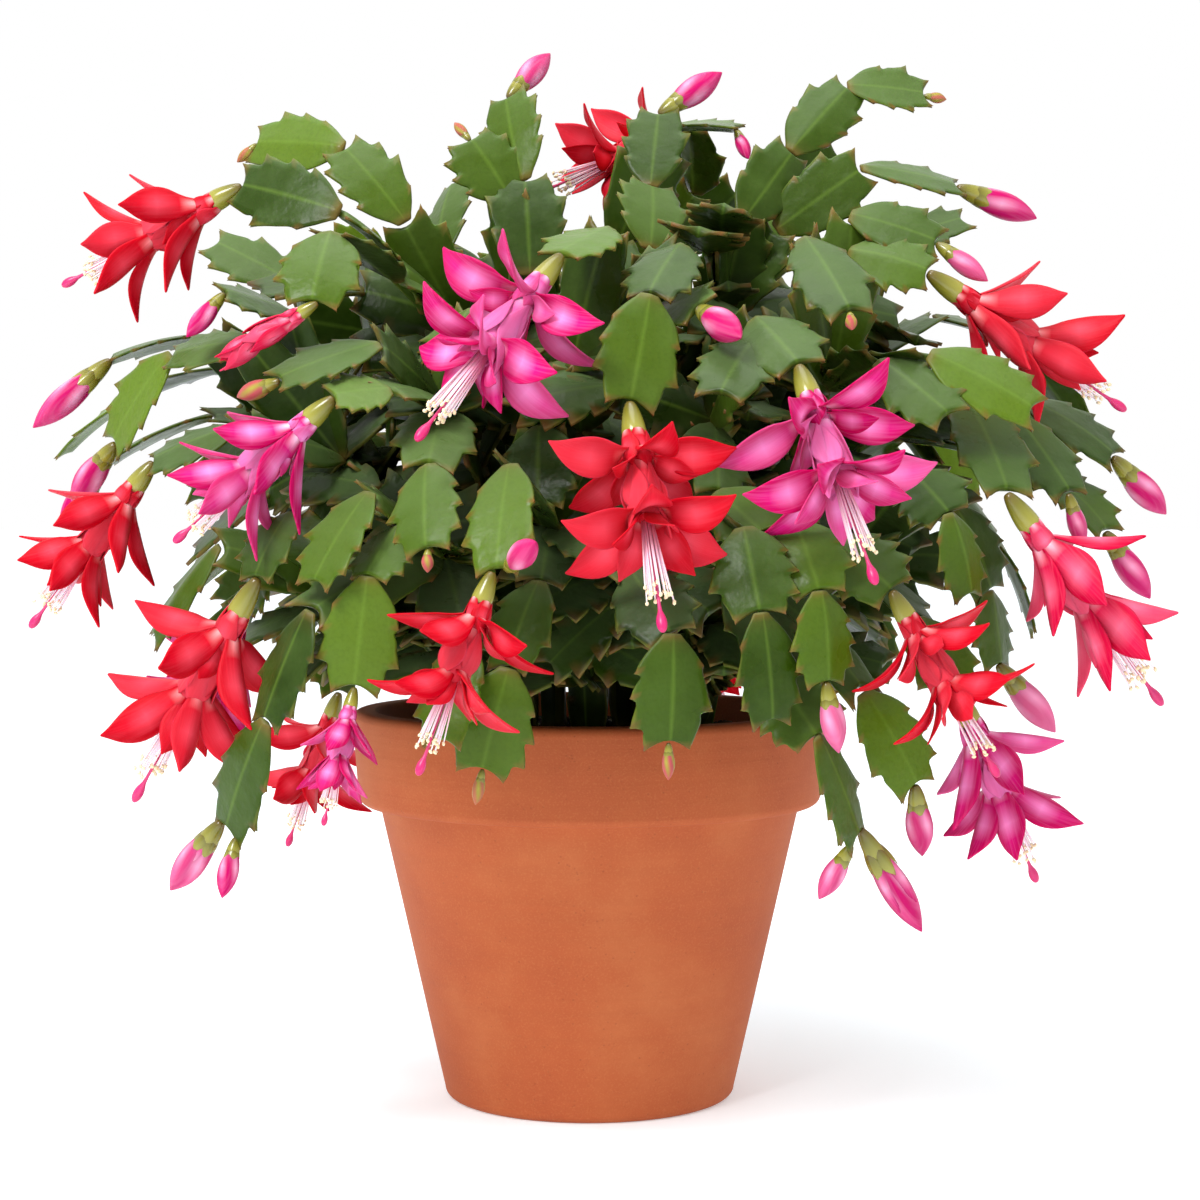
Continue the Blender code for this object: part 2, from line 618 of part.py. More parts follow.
def bud_mesh(length):
    """A pointed bud with its neck and its swollen lower half, standing on its own origin."""
    radius = min(BUD_RADIUS_MAX, max(2.0, length * BUD_RADIUS_SHARE))
    stations = ((0.0, NECK_RADIUS), (0.16, radius * 0.6), (0.6, radius), (0.84, radius * 0.7))
    rings = [circle(size, BUD_SIDES, length * share) for share, size in stations]
    return loft(rings, Vector((0.0, 0.0, length)))


def draw_petal(bm, side, reach, drop, width):
    """Pulls one side face of the tube out into a pointed petal that curls back by a drop."""
    centre = side.calc_center_median()
    outward = Vector((centre.x, centre.y, 0.0)).normalized()
    across = Vector((-outward.y, outward.x, 0.0))
    axis = Vector((0.0, 0.0, 1.0))
    middle = centre + (outward * (reach * 0.55) + axis * (3.0 - drop * 0.2)) * MM
    tip = centre + (outward * reach - axis * drop) * MM
    pulled = bmesh.ops.extrude_discrete_faces(bm, faces=[side])["faces"][0]
    for corner in pulled.verts:
        sideways = 1.0 if (corner.co - centre).dot(across) > 0.0 else -1.0
        upper = 1.0 if corner.co.z > centre.z else -1.0
        corner.co = middle + (across * (sideways * width / 2) + axis * (upper * PETAL_THICKNESS / 2)) * MM
    point = bmesh.ops.poke(bm, faces=[pulled])["verts"][0]
    point.co = tip


def flower_mesh(length, opened):
    """An open flower along +Z: ovary, tube, style and whorls of petals that curl back as it opens."""
    size = length / FLOWER_LENGTH
    bm = bmesh.new()
    rows = []
    for height, radius in TUBE_STATIONS:
        points = circle(radius * size, TUBE_SIDES, height * size)
        rows.append([bm.verts.new(point * MM) for point in points])
    tip = bm.verts.new(Vector((0.0, 0.0, length)) * MM)
    bm.faces.new(list(reversed(rows[0])))
    sides = []
    for low, high in zip(rows, rows[1:]):
        level = []
        for i in range(TUBE_SIDES):
            j = (i + 1) % TUBE_SIDES
            level.append(bm.faces.new((low[i], low[j], high[j], high[i])))
        sides.append(level)
    for i in range(TUBE_SIDES):
        bm.faces.new((rows[-1][i], rows[-1][(i + 1) % TUBE_SIDES], tip))
    spread = 0.45 + 0.55 * opened
    for level, first, reach, width in PETAL_WHORLS:
        drop = reach * (0.2 - 0.75 * (1.0 - opened))
        for i in range(first, TUBE_SIDES, 2):
            draw_petal(bm, sides[level][i], reach * spread * size, drop * size, width * size)
    bmesh.ops.triangulate(bm, faces=bm.faces)
    bmesh.ops.recalc_face_normals(bm, faces=bm.faces)
    mesh = bpy.data.meshes.new("flower")
    bm.to_mesh(mesh)
    bm.free()
    return mesh


def build_flowers(ends):
    materials = {RED: finish("petal_red", RED, 0.5), MAGENTA: finish("petal_magenta", MAGENTA, 0.5)}
    for name, shoot, across, tip, opened, colour, roll in FLOWERS:
        start = seat(ends, shoot, across, tip)
        end = Vector(tip)
        mesh = flower_mesh((end - start).length, opened)
        flower = add_object(name, mesh, materials[colour])
        flower.matrix_world = aimed(start, end, roll)


def build_buds(ends):
    material = finish("bud_pink", MAGENTA, 0.45)
    for name, shoot, across, tip in BUDS:
        start = seat(ends, shoot, across, tip)
        end = Vector(tip)
        bud = add_object(name, bud_mesh((end - start).length), material)
        bud.matrix_world = aimed(start, end, 0.0)


def main():
    clear_scene()
    build_pot()
    build_soil()
    ends = build_stems()
    build_flowers(ends)
    build_buds(ends)


main()
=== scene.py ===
"""Potted christmas cactus, the finished look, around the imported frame.

Places along the plant are in millimetres, as the grower's plan below gives them, and are scaled by MM.
"""

import math
import random

import bmesh
import bpy
import numpy as np
from mathutils import Matrix, Vector, noise


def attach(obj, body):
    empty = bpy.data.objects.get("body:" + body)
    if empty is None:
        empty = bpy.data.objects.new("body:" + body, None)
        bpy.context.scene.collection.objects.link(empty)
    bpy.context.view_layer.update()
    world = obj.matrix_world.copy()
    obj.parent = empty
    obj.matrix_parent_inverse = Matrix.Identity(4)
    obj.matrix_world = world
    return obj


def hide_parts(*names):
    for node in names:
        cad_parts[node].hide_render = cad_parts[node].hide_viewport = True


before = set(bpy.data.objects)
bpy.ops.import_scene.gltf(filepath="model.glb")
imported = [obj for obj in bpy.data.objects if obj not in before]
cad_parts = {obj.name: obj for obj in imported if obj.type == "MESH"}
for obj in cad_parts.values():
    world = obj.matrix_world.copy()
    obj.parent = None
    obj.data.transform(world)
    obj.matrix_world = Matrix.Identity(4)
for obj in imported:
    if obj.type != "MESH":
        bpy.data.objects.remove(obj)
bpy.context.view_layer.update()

MM = 0.001
UP = Vector((0.0, 0.0, 1.0))
WHITE = (1.0, 1.0, 1.0, 1.0)

# ---- The grower's plan, the same as in the frame -----------------
GAP = 0.3                      # clearance left between neighbouring pieces

# Clay pot
POT_HEIGHT = 133.0
POT_FOOT_RADIUS = 50.0
POT_NECK_RADIUS = 72.5         # outside, just under the rim band
RIM_BAND_HEIGHT = 32.0
RIM_LIP_RADIUS = 79.5          # outside of the band at its lower edge
RIM_TOP_RADIUS = 81.5
RIM_ROUND = 3.0
POT_WALL = 7.0
POT_FLOOR = 9.0
FOOT_ROUND = 3.0
DRAIN_RADIUS = 9.0

# Soil
SOIL_EDGE_DROP = 10.0          # below the top of the rim, at the wall
SOIL_CROWN = 4.0               # how much higher the middle lies

# Flat stem segments
SEGMENT_LENGTH = 37.0
SEGMENT_WIDTH = 25.0
SEGMENT_THICKNESS = 3.6
TIP_WIDTH = 13.0               # the cut-off looking end of a last segment
TRUNK_WIDTH = 13.0             # old woody segments at the soil
TRUNK_THICKNESS = 9.0
SEGMENT_TWIST = 14.0           # degrees, alternating from segment to segment
FACE_LIFT = 0.8                # how far the broad faces look up, against outward
FACE_SIDEWAYS = 0.5            # below 1 the faces of the side shoots turn to the front and the back
OLD_SEGMENTS = 3.0             # how many segments from the soil stay narrow and woody

# Short filler shoots inside the plant
FILLERS_PER_LIMB = 3
FILLER_TRIES = 40
FILLER_LENGTH = 33.0
FILLER_CLEARANCE = 18.0        # from the joints and middles of every other stem
FILLER_SPACING = 13.0          # from the same stem's own shoots
FLOWER_CLEARANCE = 24.0
POT_CLEARANCE_HEIGHT = 158.0
GOLDEN_TURN = math.pi * (3.0 - math.sqrt(5.0))

# Buds and flowers
BUD_RADIUS_SHARE = 0.19        # of the bud's length
BUD_RADIUS_MAX = 5.2
FLOWER_LENGTH = 76.0           # of the open flower that the other sizes are scaled from

RED = "red"
MAGENTA = "magenta"

# Each rooted stem: its name, where it stands on the soil (right, back), and its limbs. A limb is the
# place where the woody part ends and forks, and the shoots that leave it, each a name and the joints it
# passes, in mm (right, back, up). A shoot named in FLOWERS or BUDS carries what is listed there.
STEMS = [
    ("stem_centre_left", (-12, -4), [
     ((-42, -52, 262), [
      ("leaning", [(-58, -75, 292), (-78, -66, 316), (-108, -48, 320)]),
      ("arching", [(-76, -100, 292), (-108, -84, 302)]), ("nodding", [(-77, -112, 284), (-81, -128, 262)])]),
     ((-14, -34, 252), [
      ("upright", [(-19, -58, 277), (-21, -45, 309), (-27, -30, 338)]),
      ("steep", [(-26, -48, 302), (-39, -45, 322)]), ("tucked", [(-50, -18, 285), (-46, 4, 314)])])]),
    ("stem_centre_right", (12, -4), [
     ((18, -40, 255), [
      ("upright", [(19, -70, 284), (20, -50, 306), (23, -35, 332)]),
      ("topmost", [(8, -18, 290), (26, -12, 330), (50, -18, 329)])]),
     ((42, -44, 264), [
      ("climbing", [(49, -60, 294), (66, -45, 318), (86, -30, 341), (112, -25, 339)]),
      ("spreading", [(61, -52, 292), (88, -55, 311), (120, -46, 306)]),
      ("shaded", [(62, -22, 300), (84, -12, 322)])])]),
    ("stem_front", (0, -36), [
     ((-4, -92, 246), [
      ("over_left", [(6, -106, 286), (-8, -130, 276)]),
      ("showing", [(28, -106, 281), (18, -130, 264), (12, -144, 232)]),
      ("beside", [(20, -102, 262), (33, -124, 261)])]),
     ((-12, -104, 196), [
      ("forward", [(-22, -146, 214), (-25, -166, 184)]),
      ("falling", [(-14, -130, 180), (-23, -138, 155), (-31, -134, 125)]),
      ("hanging", [(13, -139, 183), (24, -158, 166), (23, -159, 135)]),
      ("inner", [(-14, -118, 226), (-14, -130, 202)])])]),
    ("stem_front_left", (-22, -30), [
     ((-44, -92, 232), [
      ("outward", [(-62, -122, 250), (-91, -131, 239)]), ("middle", [(-58, -134, 236), (-74, -140, 234)]),
      ("short", [(-46, -142, 214), (-45, -160, 190)]), ("high", [(-36, -98, 262), (-44, -114, 246)])]),
     ((-44, -100, 188), [
      ("drooping", [(-63, -140, 206), (-78, -150, 180)]),
      ("long", [(-80, -146, 172), (-93, -144, 140), (-107, -123, 106)]),
      ("near_rim", [(-55, -138, 196), (-63, -148, 182), (-67, -148, 150)]),
      ("low", [(-36, -134, 164), (-42, -146, 134)])])]),
    ("stem_front_right", (22, -30), [
     ((38, -98, 228), [
      ("bright", [(50, -124, 252), (38, -146, 234)]), ("reaching", [(50, -120, 258), (61, -143, 243)]),
      ("broad", [(38, -128, 206), (55, -142, 190)])]),
     ((44, -100, 186), [
      ("hanging", [(45, -146, 196), (49, -158, 172), (52, -157, 141)]),
      ("paired", [(60, -142, 198), (66, -154, 178), (68, -154, 152)]),
      ("outer", [(72, -136, 192), (88, -145, 178)]),
      ("lowest", [(55, -138, 152), (66, -148, 136), (79, -133, 105)]),
      ("low", [(82, -124, 147), (98, -121, 119)])])]),
    ("stem_left", (-33, -16), [
     ((-78, -72, 218), [
      ("drooping", [(-104, -90, 252), (-130, -82, 249), (-150, -70, 222)]),
      ("low", [(-108, -98, 226), (-134, -96, 216)]), ("rising", [(-92, -84, 262), (-112, -96, 268)])]),
     ((-76, -74, 176), [
      ("falling", [(-113, -100, 190), (-134, -94, 162)]), ("forward", [(-88, -122, 200), (-97, -132, 181)]),
      ("behind", [(-98, -92, 190), (-106, -86, 172)])])]),
    ("stem_far_left", (-38, 4), [
     ((-88, -16, 226), [
      ("outward", [(-124, -34, 258), (-156, -48, 250)]), ("dropping", [(-126, -30, 232), (-158, -46, 216)]),
      ("side", [(-122, 0, 250), (-155, 12, 242), (-185, 22, 221)]),
      ("raised", [(-98, -14, 276), (-128, -8, 292)])]),
     ((-84, 6, 180), [
      ("low", [(-118, -22, 186), (-142, -34, 162)]), ("lower", [(-116, 20, 176), (-138, 30, 148)])])]),
    ("stem_right", (33, -16), [
     ((76, -66, 240), [
      ("over", [(66, -98, 284), (77, -130, 259)]), ("twin", [(82, -78, 282), (106, -84, 275)]),
      ("long", [(83, -70, 294), (110, -74, 285)]), ("broad", [(88, -108, 246), (107, -124, 229)]),
      ("sideways", [(103, -110, 248), (134, -114, 231)])]),
     ((82, -76, 188), [
      ("hanging", [(96, -122, 212), (106, -130, 200), (112, -130, 176)]),
      ("drooping", [(112, -96, 202), (124, -90, 176), (127, -90, 153)]),
      ("low", [(100, -104, 168), (112, -112, 146)])])]),
    ("stem_far_right", (38, 4), [
     ((100, -34, 226), [
      ("forward", [(117, -84, 236), (125, -118, 206)]), ("middle", [(132, -84, 231), (147, -100, 206)]),
      ("outward", [(142, -52, 236), (169, -58, 218)]), ("falling", [(146, -52, 214), (165, -66, 194)])]),
     ((88, 4, 246), [
      ("side", [(120, 10, 268), (150, 16, 258), (172, 20, 232)]),
      ("raised", [(100, -8, 290), (128, -6, 300)]),
      ("low", [(118, -6, 216), (140, -10, 188), (150, -18, 160)])])]),
    ("stem_back_right", (26, 28), [
     ((60, 66, 246), [
      ("high", [(76, 78, 286), (104, 86, 292)]), ("over", [(58, 104, 272), (70, 132, 250)]),
      ("far", [(98, 90, 256), (128, 106, 240), (144, 112, 206)])]),
     ((66, 78, 190), [
      ("falling", [(92, 112, 196), (108, 130, 168), (112, 134, 134)]),
      ("side", [(112, 66, 196), (140, 66, 172)]), ("hanging", [(56, 122, 190), (62, 146, 160)])])]),
    ("stem_back", (0, 37), [
     ((2, 60, 262), [
      ("tall", [(18, 54, 292), (38, 48, 316), (35, 22, 336)]), ("over", [(8, 96, 286), (14, 128, 266)]),
      ("left", [(-24, 88, 292), (-46, 104, 286)]), ("right", [(34, 62, 296), (54, 58, 318)])]),
     ((-2, 94, 196), [
      ("falling", [(-6, 134, 212), (-8, 162, 190), (-6, 176, 156)]),
      ("side", [(22, 134, 192), (36, 166, 172)]), ("drooping", [(-30, 128, 222), (-38, 154, 200)])])]),
    ("stem_back_left", (-26, 28), [
     ((-58, 62, 246), [
      ("high", [(-70, 64, 286), (-96, 60, 300)]), ("over", [(-76, 96, 262), (-96, 118, 240)]),
      ("far", [(-98, 70, 250), (-128, 78, 236), (-148, 84, 204)])]),
     ((-66, 76, 188), [
      ("falling", [(-86, 112, 192), (-98, 130, 162), (-100, 132, 128)]),
      ("side", [(-110, 66, 192), (-136, 72, 166)]), ("hanging", [(-54, 118, 186), (-60, 144, 156)])])]),
]

# Flowers: name, the shoot that carries it, where on the shoot's end it sits (-1 to 1 across the end), the
# tip of its style (right, back, up), how far it has opened (0 to 1), its colour and its roll in degrees.
FLOWERS = [
    ("flower_left_top", "stem_centre_left.arching", 0.0, (-166, -72, 272), 0.55, RED, 0),
    ("flower_left_half_open", "stem_centre_left.nodding", -0.4, (-114, -120, 242), 0.05, RED, 20),
    ("flower_front_large", "stem_front.over_left", 0.0, (-48, -164, 221), 1.0, MAGENTA, 0),
    ("flower_left_middle", "stem_front_left.middle", 0.0, (-122, -128, 192), 0.6, MAGENTA, -10),
    ("flower_far_left", "stem_left.low", 0.0, (-173, -90, 165), 0.6, RED, 10),
    ("flower_left_low", "stem_left.forward", 0.0, (-138, -108, 113), 0.75, RED, 15),
    ("flower_left_behind", "stem_left.behind", 0.0, (-131, -68, 124), 0.6, MAGENTA, -20),
    ("flower_left_small", "stem_front_left.near_rim", 0.0, (-75, -158, 112), 0.5, MAGENTA, 0),
    ("flower_front_low", "stem_front.forward", 0.4, (-47, -174, 128), 0.8, RED, 0),
    ("flower_front_red", "stem_front.showing", 0.0, (21, -178, 168), 0.94, RED, 0),
    ("flower_right_magenta", "stem_front_right.reaching", 0.0, (80, -174, 181), 0.9, MAGENTA, 0),
    ("flower_right_top", "stem_right.twin", 0.0, (171, -66, 233), 0.6, RED, 0),
    ("flower_far_right", "stem_far_right.forward", 0.0, (175, -104, 142), 0.55, RED, 0),
    ("flower_right_low", "stem_front_right.outer", 0.0, (118, -150, 125), 0.85, RED, 0),
    ("flower_right_behind", "stem_right.low", 0.0, (138, -98, 87), 0.6, MAGENTA, 0),
    ("flower_top", "stem_back.tall", 0.0, (-17, -8, 309), 0.8, RED, 0),
    ("flower_back_left", "stem_back.left", 0.0, (-84, 132, 238), 0.7, MAGENTA, 0),
    ("flower_back_low", "stem_back_left.falling", 0.0, (-122, 142, 66), 0.85, RED, 0),
    ("flower_back_right", "stem_back_right.over", 0.0, (104, 158, 202), 0.9, MAGENTA, 0),
    ("flower_back_far", "stem_back.side", 0.0, (58, 166, 106), 0.7, RED, 0),
]

# Buds: name, the shoot that carries it, where on the shoot's end it sits, and its tip (right, back, up).
BUDS = [
    ("bud_top_left", "stem_centre_left.upright", 0.0, (-13, -20, 354)),
    ("bud_top_dark", "stem_centre_left.steep", 0.0, (-44, -40, 328)),
    ("bud_top_middle", "stem_centre_right.upright", 0.0, (44, -30, 346)),
    ("bud_top_hanging", "stem_centre_right.topmost", 0.0, (53, -26, 318)),
    ("bud_right_long", "stem_centre_right.spreading", 0.0, (147, -38, 297)),
    ("bud_right_second", "stem_right.long", 0.0, (125, -78, 273)),
    ("bud_middle", "stem_front.beside", 0.0, (44, -146, 251)),
    ("bud_left_hanging", "stem_left.rising", 0.0, (-122, -102, 254)),
    ("bud_left_long", "stem_far_left.outward", 0.0, (-180, -52, 228)),
    ("bud_left_drooping", "stem_left.drooping", 0.0, (-166, -60, 204)),
    ("bud_left_hidden", "stem_far_left.dropping", 0.0, (-172, -50, 196)),
    ("bud_left_green", "stem_front_left.outward", 0.0, (-104, -122, 235)),
    ("bud_front_pink", "stem_front.forward", -0.6, (-14, -185, 193)),
    ("bud_front_left_green", "stem_front.falling", 0.0, (-33, -133, 115)),
    ("bud_front_green", "stem_front.hanging", 0.0, (23, -158, 125)),
    ("bud_right_hanging", "stem_front_right.paired", 0.0, (72, -151, 132)),
    ("bud_low_right_first", "stem_front_right.lowest", 0.9, (68, -132, 87)),
    ("bud_low_right_second", "stem_front_right.lowest", -0.9, (101, -112, 74)),
    ("bud_low_right_third", "stem_front_right.low", 0.0, (101, -112, 97)),
    ("bud_far_right", "stem_far_right.outward", 0.0, (188, -48, 200)),
    ("bud_far_right_second", "stem_far_right.middle", 0.0, (152, -96, 190)),
    ("bud_far_right_third", "stem_far_right.falling", 0.0, (180, -62, 173)),
    ("bud_right_side", "stem_right.drooping", 0.0, (146, -84, 132)),
    ("bud_low_left_first", "stem_front_left.long", 0.9, (-127, -108, 86)),
    ("bud_low_left_second", "stem_front_left.long", -0.9, (-108, -130, 87)),
]

# Shapes are modelled one unit long
PARKED = 5.0                   # rows wait here, clear of the ones already drawn
MARGIN_THICKNESS = 0.028
RIB_SWELL = 3.0                # how much thicker a segment is at its rib than at its margins
END_NOTCH = 0.035
CLAW_REACH = 0.055             # how far from a claw's tip the skin is rusty
CLAW_CREASE = 0.9              # keeps the claws sharp when a segment is smoothed
JOINT_BROWNING = ((0.0, 0.85), (0.09, 0.1), (0.2, 0.0), (0.95, 0.0), (1.0, 0.6))   # along, share of brown
ALONG, TONE = 0, 3             # places among the painted values
JOINT_LAP = 0.8                # mm that a segment's foot sits inside the one before
NECK_SINK = 0.8                # mm that a flower or bud sits inside the end of its shoot
SEGMENT_ROWS = (               # along, half width
    (0.00, 0.12), (0.05, 0.15), (0.13, 0.27), (0.23, 0.38), (0.31, 0.43), (0.37, 0.41), (0.46, 0.46),
    (0.54, 0.48), (0.60, 0.46), (0.69, 0.45), (0.77, 0.42), (0.84, 0.38), (0.92, 0.34), (0.98, 0.28))
WOODY_ROWS = (
    (0.00, 0.34), (0.08, 0.34), (0.20, 0.42), (0.35, 0.47), (0.50, 0.50), (0.62, 0.50), (0.72, 0.49),
    (0.80, 0.46), (0.88, 0.42), (0.95, 0.38), (1.00, 0.34))
CLAW_SETS = (                  # row, side, forward, outward, and how far the margin steps back in after it
    ((4, -1, .06, .04, .04), (7, -1, .08, .07, .07), (10, -1, .09, .09, .06), (13, -1, .08, .01, .00),
     (4, 1, .05, .03, .03), (8, 1, .09, .10, .09), (13, 1, .10, .03, .00)),
    ((3, -1, .06, .04, .03), (8, -1, .10, .11, .09), (13, -1, .07, .00, .00),
     (4, 1, .07, .06, .06), (7, 1, .06, .05, .04), (10, 1, .10, .10, .07), (13, 1, .10, .03, .00)),
    ((5, -1, .07, .07, .06), (9, -1, .09, .10, .07), (13, -1, .09, .03, .00),
     (3, 1, .06, .03, .03), (6, 1, .07, .06, .04), (9, 1, .09, .09, .07), (13, 1, .08, .01, .00)),
    ((4, -1, .06, .05, .06), (7, -1, .07, .06, .06), (10, -1, .09, .09, .06), (13, -1, .08, .03, .00),
     (3, 1, .06, .03, .03), (7, 1, .09, .10, .09), (10, 1, .08, .06, .04), (13, 1, .09, .01, .00)),
)
WOODY_CLAWS = ((5, -1, 0.04, 0.03, 0.0), (7, 1, 0.04, 0.03, 0.0))
PETAL_ROWS = (
    (0.00, 0.20), (0.12, 0.26), (0.25, 0.38), (0.38, 0.47), (0.50, 0.50), (0.62, 0.46), (0.74, 0.35),
    (0.84, 0.22), (0.92, 0.10), (1.00, 0.015))
PETAL_CUP = 0.22               # how far the margins rise
PETAL_FOLD = 0.06              # how far the middle sinks
PETAL_SKIN = 0.03              # thickness, and the least half width that its paint counts with

# Flower parts, in mm along an open flower of FLOWER_LENGTH
SEAM = 1e-4                    # keeps the corners on the seam of a round part all on one side of it
OVARY_STATIONS = ((0.0, 1.3), (1.2, 2.0), (3.6, 2.9), (7.0, 3.7), (10.0, 4.1), (12.0, 4.0), (13.0, 3.2))
TUBE_SKIN_STATIONS = ((9.0, 3.0), (13.0, 3.6), (20.0, 3.8), (30.0, 4.2), (38.0, 4.4), (41.0, 2.5))
STYLE_STATIONS = ((38.0, 0.55), (66.0, 0.5), (69.5, 0.6), (71.0, 1.7), (73.5, 2.0), (75.2, 1.4), (76.0, 0.6))
FILAMENTS = 26
FILAMENT_ROOT = 39.0
FILAMENT_REACH = (22.0, 28.0)
FILAMENT_RADIUS = 0.36
GOLDEN_SHARE = 0.618           # of a full turn, from filament to filament
STAMENS_SHOW = 0.3             # in flowers that have opened further than this
PETAL_SWING = 12.0             # degrees either way, from petal to petal
SLEEVE_TONE = 1.2              # the petals wrapped round the tube are the palest
WHORLS = (                     # root, radius, petals, length, width, slopes shut and open, wrap, roll
    (10.5, 3.6, 5, 13.0, 8.5, (84.0, 98.0), (78.0, 94.0), 1.0, 0.0),
    (17.0, 3.4, 5, 30.5, 13.0, (80.0, 97.0), (32.0, -26.0), 0.0, 60.0),
    (18.5, 3.0, 3, 16.0, 9.0, (84.0, 97.0), (52.0, 0.0), 0.2, 45.0),
    (20.0, 3.0, 4, 26.0, 15.0, (84.0, 96.0), (84.0, 79.0), 1.7, 0.0),
    (36.0, 3.4, 6, 29.5, 13.2, (82.0, 97.0), (44.0, -20.0), 0.0, 58.0),
    (37.0, 3.2, 4, 21.0, 11.5, (84.0, 96.0), (66.0, 24.0), 0.3, 40.0),
)
PETAL_SCALE_MOST = 0.93        # a long flower is longer in its tube, not wider in its petals
CRIMSON_FLOWERS = ("flower_far_right", "flower_left_half_open")   # between the red and the magenta
YOUNG_BUDS = ("bud_top_dark", "bud_left_green", "bud_front_left_green", "bud_front_green")   # still green
BUD_SLIMMER = 0.92             # against the plain solid, so that the outer scales have room
BUD_STATIONS = (               # share of the bud's length and of its greatest radius
    (0.20, 0.50), (0.28, 0.66), (0.40, 0.88), (0.54, 1.00), (0.68, 0.95), (0.80, 0.74), (0.90, 0.44),
    (0.97, 0.16), (1.00, 0.02))
BUD_TWIST = 7.0                # degrees from station to station, as the furled petals wind
BUD_FURL = 0.09                # how far the furled edges stand out, a share of the radius
BUD_WHORLS = (                 # root, petals, length, width, slopes; root and length are shares of the bud
    (0.17, 5, 0.25, 5.0, (72.0, 88.0)),
    (0.22, 4, 0.50, 7.0, (76.0, 94.0)),
)
INNER_PER_LIMB = 9             # hidden shoots that fill the middle of the crown
FILLER_PAINTED_SHADE = 0.35             # painted shade: the filler shoots inside the crown are painted darker
INNER_TRIES = 120
INNER_CLEARANCE = 7.0
INNER_REACH = 128.0            # they stay this close to the pot's axis, and between the next two heights
INNER_LOW = 146.0
INNER_HIGH = 300.0
INNER_FLOWER_CLEARANCE = 17.0
TINY_BUDS = (                  # shoot and tip of the youngest buds, each part of its stem
    ("stem_right.over", (77, -134, 254)),
    ("stem_centre_left.leaning", (-114, -48, 314)),
    ("stem_front_left.short", (-45, -161, 184)),
    ("stem_centre_right.climbing", (119, -24, 338)),
)
CRUMBS = 420

# Lamps: name, place and size in metres, power in watts, and the height on the pot's axis that they aim at
LAMPS = (
    ("key_lamp", (-0.65, -1.1, 1.3), 0.5, 25.0),
    ("top_lamp", (-0.1, -0.2, 1.6), 0.9, 10.0),
)
LAMP_AIM = 0.18

# Camera
CAMERA_PLACE = (0.0036, -0.882, 0.203)
CAMERA_LENS = 76.8
CAMERA_DIP = 2.12              # degrees below level


def pot_inner_radius(height):
    """Radius of the pot's inner wall, which tapers like the outside."""
    share = height / (POT_HEIGHT - RIM_BAND_HEIGHT)
    return POT_FOOT_RADIUS + (POT_NECK_RADIUS - POT_FOOT_RADIUS) * share - POT_WALL


def soil_surface(radius):
    """Height of the soil at this distance from the pot's axis, over a low crown."""
    edge = POT_HEIGHT - SOIL_EDGE_DROP
    share = radius / pot_inner_radius(edge)
    return edge + SOIL_CROWN * (1.0 - share * share)


def bezier(start, control, end, share):
    return start * (1 - share) ** 2 + control * (2 * share * (1 - share)) + end * share ** 2


def limb_joints(foot, fork):
    """Joints of the woody part, from the soil up and out to where it forks."""
    start = Vector((foot[0], foot[1], soil_surface(math.hypot(*foot)) + GAP))
    end = Vector(fork)
    rise = Vector((start.x * 1.1, start.y * 1.1, start.z + (end.z - start.z) * 0.62))
    count = max(3, round((end - start).length / SEGMENT_LENGTH) + 1)
    return [bezier(start, rise, end, i / count) for i in range(count + 1)]


def shoot_joints(fork, joints):
    """Joints of a shoot, with the stretch from the fork to its first given joint shared out."""
    first = Vector(joints[0])
    start = Vector(fork)
    count = max(1, round((first - start).length / (SEGMENT_LENGTH * 1.15)))
    shared = [start.lerp(first, i / count) for i in range(count)]
    return shared + [Vector(joint) for joint in joints]


def facing(low, high, step):
    """The direction that a flat segment's broad face looks: outward, a little up, twisted step by step."""
    turn = SEGMENT_TWIST if step % 2 else -SEGMENT_TWIST
    along = (high - low).normalized()
    middle = (low + high) / 2
    outward = Vector((middle.x * FACE_SIDEWAYS, middle.y, 0.0)).normalized() + UP * FACE_LIFT
    face = outward - along * outward.dot(along)
    face.normalize()
    return Matrix.Rotation(math.radians(turn), 3, along) @ face


def listed_paths():
    """Every limb and listed shoot as (stem, shoot or None, joints)."""
    paths = []
    for stem, foot, limbs in STEMS:
        for fork, shoots in limbs:
            paths.append((stem, None, limb_joints(foot, fork)))
            for shoot, joints in shoots:
                paths.append((stem, shoot, shoot_joints(fork, joints)))
    return paths


def marks(joints):
    """Points of a path: halfway, four fifths and all the way along each of its segments."""
    return [low.lerp(high, share) for low, high in zip(joints, joints[1:]) for share in (0.5, 0.8, 1.0)]


def taken_places(paths):
    """Points that filler shoots keep away from, each with the stem it belongs to."""
    places = [(stem, mark) for stem, _, joints in paths for mark in marks(joints)]
    ends = {f"{stem}.{shoot}": joints[-1] for stem, shoot, joints in paths}
    for _, shoot, _, tip, *_ in FLOWERS:
        places += [("flower", ends[shoot].lerp(Vector(tip), share)) for share in (0.25, 0.5, 0.75)]
    return places


def filler_is_clear(stem, joints, places):
    """True where a filler shoot stays clear of the pot, the flowers and what has grown already."""
    room = {"flower": FLOWER_CLEARANCE, stem: FILLER_SPACING}
    points = marks(joints)
    return all(point.z >= POT_CLEARANCE_HEIGHT for point in points) and not any(
        (point - place).length < room.get(owner, FILLER_CLEARANCE) and (place - joints[0]).length > 1.0
        for point in points for owner, place in places)


def forked_limbs():
    """Each limb of the plan as (stem, joints)."""
    return [(stem, limb_joints(foot, fork)) for stem, foot, limbs in STEMS for fork, _ in limbs]


